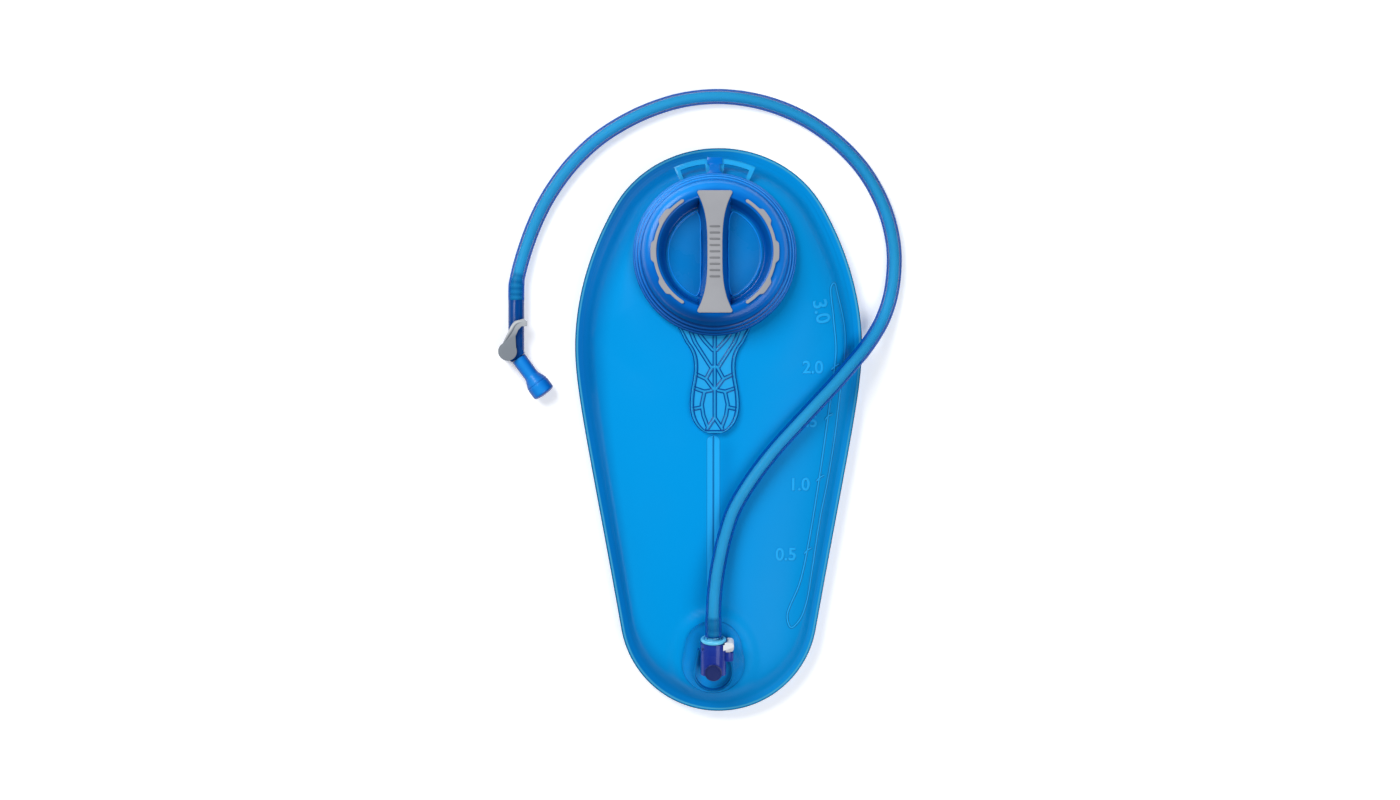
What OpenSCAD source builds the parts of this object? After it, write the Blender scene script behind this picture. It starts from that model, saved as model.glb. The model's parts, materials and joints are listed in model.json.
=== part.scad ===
// Hydration bladder lying on its back: a welded film reservoir with a wide screw cap on a
// tether, a clear grab handle, an exit port with a quick-release plug, and a drink tube that
// runs across the bag and round on the ground to a shut-off valve with a bite sheath.
// The origin is on the ground under the middle of the bag, +Y runs to the cap, +Z is up.

/* [Reservoir] */
// Length of the bag between its outer weld edges
bag_len = 422; // [416:1:428]
// Greatest width of the bag
bag_w = 215.2; // [212:0.2:218]
// Width of the flat weld round the edge
weld_w = 6; // [5:0.5:7]
// Height of the weld above the ground when the bag is filled
weld_z = 14; // [13:0.5:15]
// Rise of the front film above the weld
front_rise = 29; // [28:0.5:30]
// Drop that the back film would have without the ground
back_drop = 22; // [20:0.5:24]
// Thickness of the film
film_t = 1; // [0.8:0.1:1.2]

/* [Neck and cap] */
// Outer radius of the ring that the cap turns in
ring_r = 60.5; // [60:0.1:61]
// Inner radius of the filling mouth
mouth_r = 45; // [44.6:0.1:45.2]
// Rise of the cap in one turn
thread_lead = 6; // [6:0.1:6.2]
// Lean of the neck towards the top edge
neck_tilt = 3; // [2:0.5:4]

/* [Handle] */
// Length of the handle from the flange to its round end
handle_len = 73.5; // [72:0.5:75]
// Greatest width of the handle
handle_w = 37; // [35:0.5:39]

/* [Exit port] */
// Slope of the exit port, rising towards the cap
port_tilt = 15; // [14.8:0.1:15.2]
// Width of the plug housing
housing_w = 19.2; // [18.6:0.2:20]
// Travel of the release button
button_travel = 1.5; // [1:0.1:1.6]

/* [Drink tube] */
// Outer diameter of the drink tube
tube_d = 11.5; // [11:0.1:11.6]
// Inner diameter of the drink tube
tube_bore = 7.5; // [7.4:0.1:7.6]

/* [Bite valve] */
// Greatest radius of the bite sheath
sheath_r = 8.6; // [8.2:0.1:8.7]
// Radius of the shut-off lever's disc
lever_disc_r = 7; // [6.8:0.1:7.2]

/* [Hidden] */
$fn = 96;
half_len = bag_len / 2;
half_w = bag_w / 2;

// Bag outline, right half, from the bottom to the top
foot_r = 74;
foot_y = foot_r - half_len;
taper = 10.1;
wide_y = 62;
shoulder = [78, half_len - 43.5];
shoulder_dir = [-cos(60), sin(60)];
side_start = [foot_r * cos(taper), foot_y - foot_r * sin(taper)];
side_curve = [side_start, side_start + 130 * [sin(taper), cos(taper)],
              [half_w, wide_y - 34], [half_w, wide_y]];
shoulder_curve = [[half_w, wide_y], [half_w, wide_y + 40],
                  shoulder - 32 * shoulder_dir, shoulder];
top_curve = [shoulder, shoulder + 33 * shoulder_dir, [31, half_len], [0, half_len]];
right_edge = concat(
    [for (i = [0:5]) let (a = -90 + i * (90 - taper) / 6) [foot_r * cos(a), foot_y + foot_r * sin(a)]],
    [for (i = [0:11]) bezier(side_curve, i / 12)],
    [for (i = [0:6]) bezier(shoulder_curve, i / 7)],
    [for (i = [0:4]) bezier(top_curve, i / 5)],
    [[0, half_len]]);
left_edge = [for (i = [len(right_edge) - 2:-1:1]) [-right_edge[i][0], right_edge[i][1]]];
outline = concat(right_edge, left_edge);
edge_n = len(outline);
weld_line = [for (i = [0:edge_n - 1]) outline[i] + weld_w * inward(i)];
weld_half = [for (i = [0:len(right_edge) - 1]) [weld_line[i][1], weld_line[i][0]]];
weld_end = half_len - weld_w;

// Gap between the front film and the flanges that lie on it
flange_gap = 0.5;

// Neck: its frame's origin is under the flange, on the cap's axis
neck = [-3, 129.5, 38];
film_hole_r = 49.6;
flange_r = 59.5;
film_flat_r = 57;
collar_r = 49;
collar_top = 21;
thread_steps = 36;
thread_z = 7;
thread_gap = 2.2;
plateau_z = 27;
floor_z = 8.6;
grip_t = 1.5;
tab_r = [61, 68, 72];
tab_t = 2.5;

// Exit port: its frame's origin is under the flange, +Y along the plug
port = [-4, -169, 33.5];
plug_z = 10.2;
plug_r = 4.2;
mouth_y = 15.5;
latch_y = 10.8;
stem_x = housing_w / 2 - 0.8;
stem_y = 7.7;
nipple_y = -5.5;
wall_h = 5.5;

// Drink tube: centre line from the plug, over the bag and its edge, then on the ground
tube_z = 5.8;
route = [
    [-4, -152, 48.6], [-4, -137, 52.2], [-3.5, -124, 52.6], [-2, -110, 51.6], [0, -98, 50.4],
    [4, -80, 49.6], [11, -59, 49.3], [24, -37, 48.8], [40, -16, 47], [58, 4, 43.8],
    [74, 21, 39.5], [88, 36, 34.3], [98, 47.5, 29], [108, 59, 22.3], [116, 70, 15.4],
    [122.5, 81, 10], [127, 92, 7.2], [130, 103, 6], [132, 118, tube_z], [132, 136, tube_z],
    [128.5, 155, tube_z], [122, 173, tube_z], [112, 191, tube_z], [100, 206, tube_z],
    [83, 221.5, tube_z], [64, 234, tube_z], [42, 243.5, tube_z], [19, 249, tube_z],
    [-4, 250.5, tube_z], [-29, 247.5, tube_z], [-54, 239.5, tube_z], [-75, 229, tube_z],
    [-92, 217.5, tube_z], [-107, 203.5, tube_z], [-119, 189, tube_z], [-130, 172, tube_z],
    [-138.5, 154.5, tube_z], [-145, 137, 6.2], [-149.6, 121, 7.9],
    [-151.7, 110.5, 8.9], [-152, 103.5, 9], [-152, 97, 9]
];

// Shut-off valve on the ground
valve = [-152, 56, 9];
sheath_from = 3;
rotor_at = [-158, 58.5];
outlet_dir = [0.59, -0.807];
outlet_angle = atan2(outlet_dir[1], outlet_dir[0]);
rotor_r = 4;
inlet_bore_r = 2.5;
rotor_bore_r = 2.1;
exit_bore_r = 1.8;
outlet_bore_r = 2.6;
valve_top = 15.2;

// ---- functions -------------------------------------------------------------------------

function bezier(p, t) =
    pow(1 - t, 3) * p[0] + 3 * pow(1 - t, 2) * t * p[1] + 3 * (1 - t) * t * t * p[2] + pow(t, 3) * p[3];
function unit(v) = v / norm(v);
function ease(t) = let (c = min(1, max(0, t))) c * c * (3 - 2 * c);

// Unit vector from outline point i towards the inside of the bag
function inward(i) =
    let (d = unit(outline[(i + 1) % edge_n] - outline[(i + edge_n - 1) % edge_n])) [-d[1], d[0]];

// Fullness of the filled bag at x, y: 0 on the weld line, 1 in the middle
function fullness(x, y) =
    let (u = min(1, abs(x) / max(1, lookup(y, weld_half))), v = min(1, abs(y) / weld_end))
    pow(1 - pow(u, 2.2), 0.6) * pow(1 - pow(v, 3.2), 0.6);

function neck_plane(y) = neck[2] - flange_gap - tan(neck_tilt) * (y - neck[1]);
function port_plane(y) = port[2] - flange_gap + tan(port_tilt) * (y - port[1]);

// How much the film follows the flat neck flange, and the sloping exit port
function neck_pull(p, reach) =
    ease(1 - (norm(p - [neck[0], neck[1]]) - film_flat_r) / min(50, 0.85 * (reach - film_flat_r)));
function port_pull(p) = ease((39.5 - norm([(p[0] - port[0]) * 1.1, p[1] - port[1]])) / 11);

// Height of the front film at p; reach is the distance from the neck to the weld along p's ray
function front_z(p, reach) =
    let (free = weld_z + front_rise * fullness(p[0], p[1]),
         near_port = free + (port_plane(p[1]) - free) * port_pull(p))
    near_port + (neck_plane(p[1]) - near_port) * neck_pull(p, reach);
function back_z(p) = max(0, weld_z - back_drop * fullness(p[0], p[1]));

// Triangles between rows of n points each; the rows close on themselves if wrap is true
function row_faces(rows, n, wrap) = [
    for (r = [0:rows - (wrap ? 1 : 2)], i = [0:n - 1])
        let (a = r * n + i, b = r * n + (i + 1) % n, c = ((r + 1) % rows) * n)
        each [[a, b, c + (i + 1) % n], [a, c + (i + 1) % n, c + i]]];

// ---- shared shapes -----------------------------------------------------------------------

module at_neck() translate(neck) rotate([-neck_tilt, 0, 0]) children();
module at_port() translate(port) rotate([port_tilt, 0, 0]) children();
module at_plug() at_port() translate([0, 0, plug_z]) rotate([-90, 0, 0]) children();
module at_outlet() translate(valve) rotate([0, 0, outlet_angle - 90]) rotate([-90, 0, 0]) children();

// A tube of radius r swept along the points, with n sides
module sweep(points, r, n, up = [0, 0, 1]) {
    last = len(points) - 1;
    rows = [for (k = [0:last])
        let (t = unit(points[min(last, k + 1)] - points[max(0, k - 1)]),
             u = unit(cross(t, up)), v = cross(t, u))
        [for (i = [0:n - 1]) points[k] + r * (cos(-360 * i / n) * u + sin(-360 * i / n) * v)]];
    polyhedron([for (row = rows) each row],
        concat(row_faces(last + 1, n, false),
            [[for (i = [n - 1:-1:0]) i]], [[for (i = [0:n - 1]) last * n + i]]), convexity = 10);
}

// A coil spring along +Z from z = 0 to z = h
module coil(r, wire_r, h, turns) {
    steps = turns * 12;
    sweep([for (i = [0:steps]) [r * cos(30 * i), r * sin(30 * i), wire_r + i * (h - 2 * wire_r) / steps]],
        wire_r, 6);
}

// A screw ridge from radius root to radius crest, with its middle starting at height z
module ridge(root, crest, z, turns) {
    steps = thread_steps * turns;
    rows = [for (k = [0:steps])
        let (a = 360 * k / thread_steps, taper_in = min(1, 0.15 + min(k, steps - k) / 4),
             tip = root + (crest - root) * taper_in, outer = max(root, tip), inner = min(root, tip),
             out_h = crest > root ? 0.7 : 1.5, in_h = crest > root ? 1.5 : 0.7,
             mid = z + thread_lead * k / thread_steps)
        [for (q = [[outer, -out_h], [outer, out_h], [inner, in_h], [inner, -in_h]])
            [q[0] * cos(a), q[0] * sin(a), mid + q[1]]]];
    polyhedron([for (row = rows) each row],
        concat(row_faces(steps + 1, 4, false), [[3, 2, 1, 0]], [[for (i = [0:3]) steps * 4 + i]]),
        convexity = 10);
}

// A flat ring segment between radii r0 and r1, centred on angle mid
module sector(r0, r1, z0, z1, mid, span) {
    rotate([0, 0, mid - span / 2]) rotate_extrude(angle = span)
        polygon([[r0, z0], [r1, z0], [r1, z1], [r0, z1]]);
}

// Bow-tie outline along Y, narrow in the middle
module bow_tie(half, waist, end, z0, z1) {
    ys = [for (i = [-8:8]) half * i / 8];
    translate([0, 0, z0]) linear_extrude(z1 - z0) polygon(concat(
        [for (y = ys) [waist + (end - waist) * pow(y / half, 2), y]],
        [for (i = [16:-1:0]) [-waist - (end - waist) * pow(ys[i] / half, 2), ys[i]]]));
}

// A bar along Y with a rounded oval section, w wide and 2 * r high
module oval_bar(w, r, y0, y1) {
    for (side = [-1, 1])
        translate([side * (w / 2 - r), y0, plug_z]) rotate([-90, 0, 0]) cylinder(r = r, h = y1 - y0);
    translate([-(w / 2 - r), y0, plug_z - r]) cube([w - 2 * r, y1 - y0, 2 * r]);
}

// ---- reservoir ------------------------------------------------------------------------------

module front_panel() {
    fractions = [0, 0.07, 0.14, 0.23, 0.33, 0.44, 0.56, 0.68, 0.79, 0.88, 0.94, 0.98, 1];
    centre = [neck[0], neck[1]];
    spoke = [for (q = weld_line) unit(q - centre)];
    reach = [for (q = weld_line) norm(q - centre)];
    top = [for (f = fractions) [for (i = [0:edge_n - 1])
        let (p = centre + spoke[i] * (film_hole_r + f * (reach[i] - film_hole_r)),
             lift = film_t * ease((f - 0.9) * 10))
        [p[0], p[1], f == 1 ? weld_z + film_t : front_z(p, reach[i]) + lift]]];
    rim = [for (z = [weld_z + film_t, weld_z]) [for (q = outline) [q[0], q[1], z]]];
    under = [for (k = [len(top) - 1:-1:0]) [for (q = top[k]) q - [0, 0, film_t]]];
    rows = concat(top, rim, under);
    color("deepskyblue") difference() {
        polyhedron([for (row = rows) each row], row_faces(len(rows), edge_n, true), convexity = 10);
        at_port() translate([0, nipple_y, -4]) cylinder(r = 4.2, h = 8);
    }
}

module back_panel() {
    fractions = [0.25, 0.5, 0.7, 0.8, 0.88, 0.94, 0.98];
    top = concat(
        [for (f = fractions) [for (q = weld_line) [f * q[0], f * q[1], back_z(f * q) + film_t]]],
        [for (line = [weld_line, outline]) [for (q = line) [q[0], q[1], weld_z]]]);
    under = [for (k = [len(top) - 1:-1:0]) [for (q = top[k]) q - [0, 0, film_t]]];
    rows = concat(top, under);
    count = len(rows) * edge_n;
    color("dodgerblue") polyhedron(
        concat([for (row = rows) each row], [[0, 0, film_t], [0, 0, 0]]),
        concat(row_faces(len(rows), edge_n, false),
            [for (i = [0:edge_n - 1]) [count, (i + 1) % edge_n, i]],
            [for (i = [0:edge_n - 1]) [count + 1, count - edge_n + i, count - edge_n + (i + 1) % edge_n]]),
        convexity = 10);
}

module centre_baffle() {
    x = port[0];
    gap = 0.1;
    roof_gap = 0.6;
    ys = [for (y = [-118:14:-6]) y];
    roof = [for (y = ys) [y, front_z([x, y], 300) - film_t - roof_gap]];
    ground = [for (i = [len(ys) - 1:-1:0]) [ys[i], back_z([x, ys[i]]) + film_t + gap]];
    color("lightskyblue") translate([x, 0, 0]) rotate([90, 0, 90]) {
        translate([0, 0, -0.4]) linear_extrude(0.8) polygon(concat(roof, ground));
        translate([0, 0, -5]) linear_extrude(10)
            polygon(concat(roof, [for (i = [len(roof) - 1:-1:0]) roof[i] - [0, 0.8]]));
    }
}

// ---- neck -------------------------------------------------------------------------------------

module port_flange() {
    color("lightcyan") at_neck() difference() {
        union() {
            sector(collar_r, flange_r, 0, tab_t, 90, 360);
            sector(flange_r - 1, tab_r[2], 0, tab_t, 90, 50);
        }
        for (side = [-1, 1])
            sector(tab_r[0], tab_r[1], -1, tab_t + 1, 90 + side * 14, 16);
        translate([0, 70, -1]) cylinder(r = 1.5, h = tab_t + 2, $fn = 32);
    }
}

module neck_collar() {
    color("azure") at_neck() {
        rotate_extrude() polygon([
            [mouth_r, -2], [collar_r, -2], [collar_r, collar_top - 1],
            [collar_r - 1, collar_top], [mouth_r, collar_top]]);
        ridge(collar_r - 0.5, collar_r + 2.2, thread_z, 7 / 6);
    }
}

module handle() {
    start_y = 53;
    end_y = flange_r + handle_len;
    waist = [15.4, 83];
    belly = [handle_w / 2, 111];
    half = concat(
        [for (i = [0:5]) bezier([[36, start_y], [22, 60], [waist[0], 68], waist], i / 6)],
        [for (i = [0:3]) bezier([waist, waist + [0, 10], belly - [0, 12], belly], i / 4)],
        [for (i = [0:7]) bezier([belly, belly + [0, 12], [12, end_y], [0, end_y]], i / 8)]);
    edge = concat(half, [[0, end_y]], [for (i = [len(half) - 1:-1:0]) [-half[i][0], half[i][1]]]);
    inner = [for (q = edge) [q[0] * 0.84, start_y + (q[1] - start_y) * 0.966]];
    color("lightcyan") at_neck() rotate([0, 0, 180]) difference() {
        union() {
            translate([0, 0, 1]) linear_extrude(1.4) polygon(edge);
            difference() {
                translate([0, 0, 1]) linear_extrude(2.6) polygon(edge);
                translate([0, 0, 0]) linear_extrude(5) polygon(inner);
            }
            translate([-1, start_y, 1]) cube([2, handle_len, 2.4]);
            for (rib = [[66, 36, 0], [85, 26, 1], [98, 16, 1]], side = [-1, 1])
                translate([0, rib[0], 1]) rotate([0, 0, side * rib[1]])
                    translate([-0.6, 0, 0]) cube([1.2, 12, 2.2]);
        }
        translate([0, 0, -5]) cylinder(r = flange_r, h = 20);
    }
}

module tether_anchor() {
    color("royalblue") at_neck() translate([0, 70, 0]) {
        translate([-5.5, -2.5, tab_t + 0.1]) cube([11, 5, 1.8]);
        translate([0, 0, -0.1]) cylinder(r = 1.4, h = tab_t + 1, $fn = 32);
        translate([0, 0, -1.3]) cylinder(r = 2.6, h = 1.2, $fn = 32);
    }
}

module tether_strap() {
    side_view = [
        [ring_r, 5], [63.5, 4.8], [67.5, tab_t + 0.4],
        [67.5, tab_t + 1.8], [64, 6.6], [ring_r, 7.2]];
    color("royalblue") at_neck() rotate([90, 0, 90]) translate([0, 0, -4])
        linear_extrude(8) polygon(side_view);
}

module tether_ring() {
    color("mediumblue") at_neck() rotate_extrude() polygon([
        [55.9, 4.3], [ring_r - 1, 4.3], [ring_r, 5.3], [ring_r, 7.6], [ring_r - 1.4, 9.3], [55.9, 9.3]]);
}

// ---- cap ----------------------------------------------------------------------------------------

module cap_shell() {
    color("royalblue") at_neck() {
        rotate_extrude() polygon([
            [52.2, 2.9], [57.4, 2.9], [57.4, 4], [55.6, 4], [55.6, 9.6], [58.6, 9.6], [58.6, 11.5],
            [57.6, 12.9], [56.4, 13.2], [56.4, 15], [55.4, 16.2], [54.4, 16.5], [54, 19.5],
            [52.8, 23], [51, 25.7], [49, plateau_z], [42.2, plateau_z], [41.2, 26.3], [38.3, 12],
            [37, 10.5], [37, floor_z], [35.4, floor_z], [35.4, 7.6], [40.6, 7.6], [43.6, 20],
            [43.6, 23], [52.2, 23]]);
        ridge(52.5, 49.6, thread_z - thread_gap, 1);
        intersection() {
            bow_tie(44, 8.5, 13, 10.4, 18);
            cylinder(r = 39.8, h = 40);
        }
        intersection() {
            bow_tie(45, 5.5, 13.9, 17.9, plateau_z);
            cylinder(r = 42.5, h = 40);
        }
    }
}

module cap_window() {
    color("skyblue") at_neck() translate([0, 0, floor_z]) cylinder(r = 36.9, h = 1.8);
}

module cap_gasket() {
    color("white") at_neck() sector(44.6, 50.6, collar_top + 0.1, 23, 0, 360);
}

module bridge_grip() {
    color("darkgray") at_neck() bow_tie(45, 5.5, 13.9, plateau_z, plateau_z + grip_t);
}

module arc_grip(mid) {
    span = 118;
    color("darkgray") at_neck() {
        sector(42.6, 45.8, plateau_z, plateau_z + grip_t, mid, span);
        for (a = [-36, 0, 36])
            sector(44, 47.4, plateau_z, plateau_z + grip_t, mid + a, 15);
        for (end = [-1, 1])
            rotate([0, 0, mid + end * span / 2]) translate([44.2, 0, plateau_z])
                cylinder(r = 1.6, h = grip_t, $fn = 32);
    }
}

module arc_grip_left() arc_grip(180);
module arc_grip_right() arc_grip(0);

// ---- exit port and quick-release plug ---------------------------------------------------------------

module egg(big, big_y, small, small_y) hull() {
    translate([0, big_y]) circle(big, $fn = 48);
    translate([0, small_y]) circle(small, $fn = 48);
}

module exit_port_base() {
    flange_t = 1.2;
    color("lightcyan") at_port() {
        difference() {
            union() {
                linear_extrude(flange_t) egg(23.4, -4.9, 21, 7.8);
                difference() {
                    linear_extrude(wall_h) egg(15, -10.5, 11.2, 9);
                    translate([0, 0, -1]) linear_extrude(2 * wall_h) egg(13.6, -10.5, 9.8, 9);
                    translate([-20, 7.5, flange_t - 0.1]) cube([40, 20, 10]);
                }
                translate([0, nipple_y, -2.5]) cylinder(r = 4, h = plug_z - flange_t);
            }
            translate([0, nipple_y, -4]) cylinder(r = 2.4, h = 12);
            translate([0, mouth_y, plug_z]) rotate([-90, 0, 0]) cylinder(r = 9.65, h = 30);
        }
    }
}

module plug_housing() {
    top_r = 6.5;
    color("mediumblue") at_port() difference() {
        union() {
            oval_bar(housing_w, 8, -9, mouth_y);
            translate([0, nipple_y, plug_z - 8]) cylinder(r = top_r, h = 16.7);
            translate([11, 1.5, plug_z]) rotate([-90, 0, 0]) cylinder(r = 3.9, h = 6.9);
        }
        translate([0, nipple_y, 0]) cylinder(r = 4.05, h = 8);
        translate([0, nipple_y, 7]) cylinder(r = 2.4, h = plug_z - 6);
        translate([0, nipple_y, plug_z]) rotate([-90, 0, 0]) cylinder(r = 2.3, h = 10);
        translate([0, -2.5, plug_z]) rotate([-90, 0, 0]) cylinder(r = plug_r + 0.1, h = 30);
        translate([-8.1, latch_y - 0.3, plug_z - 5.5]) cube([15.8, 2, 11]);
        translate([stem_x - button_travel - 0.3, stem_y - 0.3, plug_z - 2.9]) cube([10, 7.8, 5.8]);
        translate([6, 9.1, plug_z]) rotate([0, 90, 0]) cylinder(r = 1.45, h = 10, $fn = 32);
    }
}

module button_spring() {
    start_x = 6.1;
    color("silver") at_port() translate([start_x, 9.1, plug_z]) rotate([0, 90, 0])
        coil(1, 0.22, stem_x - start_x - 0.05, 3);
}

// The button wraps round the side of the housing and the plug's collar, and its stem goes in
module release_button() {
    low = 8.7;
    length = 8.5;
    inner_x = 6.4;
    outer_x = 15.1;
    corner = 2.6;
    gap = button_travel + 0.25;
    outer = [for (side = [[low + length - corner, 90], [low + corner, 0]], i = [0:6])
        let (a = side[1] - 15 * i) [outer_x - corner + corner * cos(a), side[0] + corner * sin(a)]];
    color("white") at_port() {
        difference() {
            translate([0, 0, plug_z - 4.7]) linear_extrude(11.7)
                polygon(concat([[inner_x, low], [inner_x, low + length]], outer));
            translate([gap, 0, 0]) oval_bar(housing_w, 8, 0, mouth_y + 0.1);
            translate([gap, mouth_y, plug_z]) rotate([-90, 0, 0]) cylinder(r = 9.6, h = 10);
        }
        translate([stem_x, stem_y, plug_z - 2.6]) cube([3.5, 7.2, 5.2]);
    }
}

module latch_plate() {
    color("silver") at_port() difference() {
        union() {
            translate([-6.2, latch_y, plug_z - 5.2]) cube([13.4, 1.4, 10.4]);
            translate([7, latch_y, plug_z - 2.6]) cube([stem_x - 7, 1.4, 5.2]);
        }
        for (x = [0, button_travel])
            translate([x, 0, plug_z]) rotate([-90, 0, 0]) cylinder(r = plug_r + 0.3, h = 30);
    }
}

module hose_plug() {
    color("deepskyblue") at_plug() rotate_extrude() polygon([
        [2.3, -1], [plug_r - 0.6, -1], [plug_r, 0], [plug_r, 2.4], [plug_r - 1, 2.4], [plug_r - 1, 3.8],
        [plug_r, 3.8], [plug_r, 20], [3.6, 20], [3.6, 26], [4.2, 26], [3.6, 28.5], [3.6, 31],
        [4.2, 31], [3.4, 35], [2.3, 35]]);
}

module plug_collar() {
    color("paleturquoise") at_plug() rotate_extrude() polygon([
        [plug_r, mouth_y + 0.3], [8.6, mouth_y + 0.3], [9.3, mouth_y + 1], [9.3, mouth_y + 2.4],
        [8.8, mouth_y + 3.1], [7, mouth_y + 3.1], [6.4, mouth_y + 2], [plug_r, mouth_y + 2]]);
}

module plug_o_ring() {
    color("dimgray") at_plug() translate([0, 0, 3.1]) rotate_extrude()
        translate([plug_r - 0.47, 0]) circle(r = 0.5, $fn = 24);
}

module hose() {
    color("steelblue") sweep(route, tube_d / 2, 10);
}

// ---- shut-off and bite valve ---------------------------------------------------------------------------

module valve_body() {
    color("navy") difference() {
        union() {
            translate(valve) rotate([-90, 0, 0]) cylinder(r = 6, h = 41);
            translate(valve + [0, 41, 0]) rotate([-90, 0, 0]) cylinder(r = 3.6, h = 14);
            translate([rotor_at[0], rotor_at[1], 1]) cylinder(r = lever_disc_r - 0.1, h = valve_top - 1);
            translate([valve[0], valve[1], 2.5]) cylinder(r = 6.3, h = 12.6);
            at_outlet() cylinder(r = 5.6, h = 7);
            at_outlet() cylinder(r = 4.2, h = 20);
        }
        translate([valve[0], 76, valve[2]]) rotate([-90, 0, 0]) cylinder(r = inlet_bore_r, h = 50);
        bore_between([valve[0], 77.5], rotor_at, rotor_bore_r);
        bore_between([valve[0], valve[1]] + 8 * outlet_dir, rotor_at, exit_bore_r);
        at_outlet() translate([0, 0, 6.5]) cylinder(r = outlet_bore_r, h = 30);
        translate([rotor_at[0], rotor_at[1], 3]) cylinder(r = rotor_r + 0.05, h = 30);
        at_outlet() difference() {
            translate([-12, -12, sheath_from - 0.4]) cube([24, 24, 10]);
            cylinder(r = 4.2, h = 30);
        }
    }
}

// A level bore of the water way from a to b
module bore_between(a, b, r) {
    translate([a[0], a[1], valve[2]]) rotate([0, 0, atan2(b[1] - a[1], b[0] - a[0])])
        rotate([0, 90, 0]) cylinder(r = r, h = norm(b - a));
}

module valve_rotor() {
    color("lightgray") difference() {
        translate([rotor_at[0], rotor_at[1], 3.2]) cylinder(r = rotor_r, h = valve_top + 0.3 - 3.2);
        bore_between([valve[0], 77.5], rotor_at, rotor_bore_r);
        bore_between([valve[0], valve[1]] + 8 * outlet_dir, rotor_at, exit_bore_r);
        for (z = [4.6, 13.4])
            translate([rotor_at[0], rotor_at[1], z]) sector(rotor_r - 0.8, rotor_r + 2, -0.6, 0.6, 0, 360);
    }
}

module rotor_seals() {
    color("dimgray") for (z = [4.6, 13.4])
        translate([rotor_at[0], rotor_at[1], z]) rotate_extrude()
            translate([rotor_r - 0.4, 0]) circle(r = 0.38, $fn = 24);
}

module valve_lever() {
    color("gray") translate([rotor_at[0], rotor_at[1], valve_top + 0.3]) {
        cylinder(r = lever_disc_r, h = 3.2);
        linear_extrude(3.2) polygon([
            [-5, 4], [-3, 6.8], [1.5, 14.3], [3.8, 21], [6, 22.9], [12, 24.4], [14.6, 22.5],
            [14.6, 18.8], [10.5, 18.8], [7.9, 15.8], [6, 11.3], [6.4, 3]]);
    }
}

module bite_sheath() {
    color("deepskyblue") at_outlet() difference() {
        rotate_extrude() polygon([
            [4.3, sheath_from], [5.7, sheath_from], [5.7, 16], [5.5, 19], [8.2, 26], [sheath_r, 28],
            [sheath_r, 34.5], [7.6, 36.2], [0, 37], [0, 34.4], [6.6, 33.6], [6.8, 28], [4.3, 21.5]]);
        translate([-5, -0.3, 33]) cube([10, 0.6, 8]);
    }
}

front_panel();
back_panel();
centre_baffle();
port_flange();
neck_collar();
handle();
tether_anchor();
tether_strap();
tether_ring();
cap_shell();
cap_window();
cap_gasket();
bridge_grip();
arc_grip_left();
arc_grip_right();
exit_port_base();
plug_housing();
button_spring();
release_button();
latch_plate();
hose_plug();
plug_collar();
plug_o_ring();
hose();
valve_body();
valve_rotor();
rotor_seals();
valve_lever();
bite_sheath();
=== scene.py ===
"""Looks of the hydration bladder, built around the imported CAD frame.
"""

import json
import math
from contextlib import contextmanager

import bmesh
import bpy
import numpy as np
from mathutils import Matrix, Vector
from mathutils.bvhtree import BVHTree


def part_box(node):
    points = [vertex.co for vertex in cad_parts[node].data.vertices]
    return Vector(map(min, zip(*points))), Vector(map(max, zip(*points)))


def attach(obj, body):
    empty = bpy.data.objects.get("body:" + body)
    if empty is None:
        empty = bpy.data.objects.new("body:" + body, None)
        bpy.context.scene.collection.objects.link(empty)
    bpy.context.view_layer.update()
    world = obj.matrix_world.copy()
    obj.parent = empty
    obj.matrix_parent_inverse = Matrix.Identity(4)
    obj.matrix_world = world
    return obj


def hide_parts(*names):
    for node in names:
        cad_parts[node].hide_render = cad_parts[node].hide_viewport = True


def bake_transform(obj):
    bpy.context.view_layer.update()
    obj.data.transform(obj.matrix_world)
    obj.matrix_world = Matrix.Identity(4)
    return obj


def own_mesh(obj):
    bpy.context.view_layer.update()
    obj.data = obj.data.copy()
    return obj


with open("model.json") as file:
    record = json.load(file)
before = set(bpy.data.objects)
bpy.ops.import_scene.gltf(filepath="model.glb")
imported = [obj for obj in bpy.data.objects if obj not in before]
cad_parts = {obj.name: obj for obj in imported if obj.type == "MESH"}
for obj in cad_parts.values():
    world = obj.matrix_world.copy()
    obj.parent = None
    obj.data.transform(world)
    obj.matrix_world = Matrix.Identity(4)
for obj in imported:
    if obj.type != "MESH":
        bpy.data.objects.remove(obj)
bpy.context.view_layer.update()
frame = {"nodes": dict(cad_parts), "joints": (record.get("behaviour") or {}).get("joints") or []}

MM = 0.001
JOINTS = {j["name"]: j for j in frame["joints"]}


# ---- driving dimensions, read from the frame where it holds them ------------

def node_box(name):
    low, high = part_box(name)
    return np.array(low) / MM, np.array(high) / MM


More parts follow.
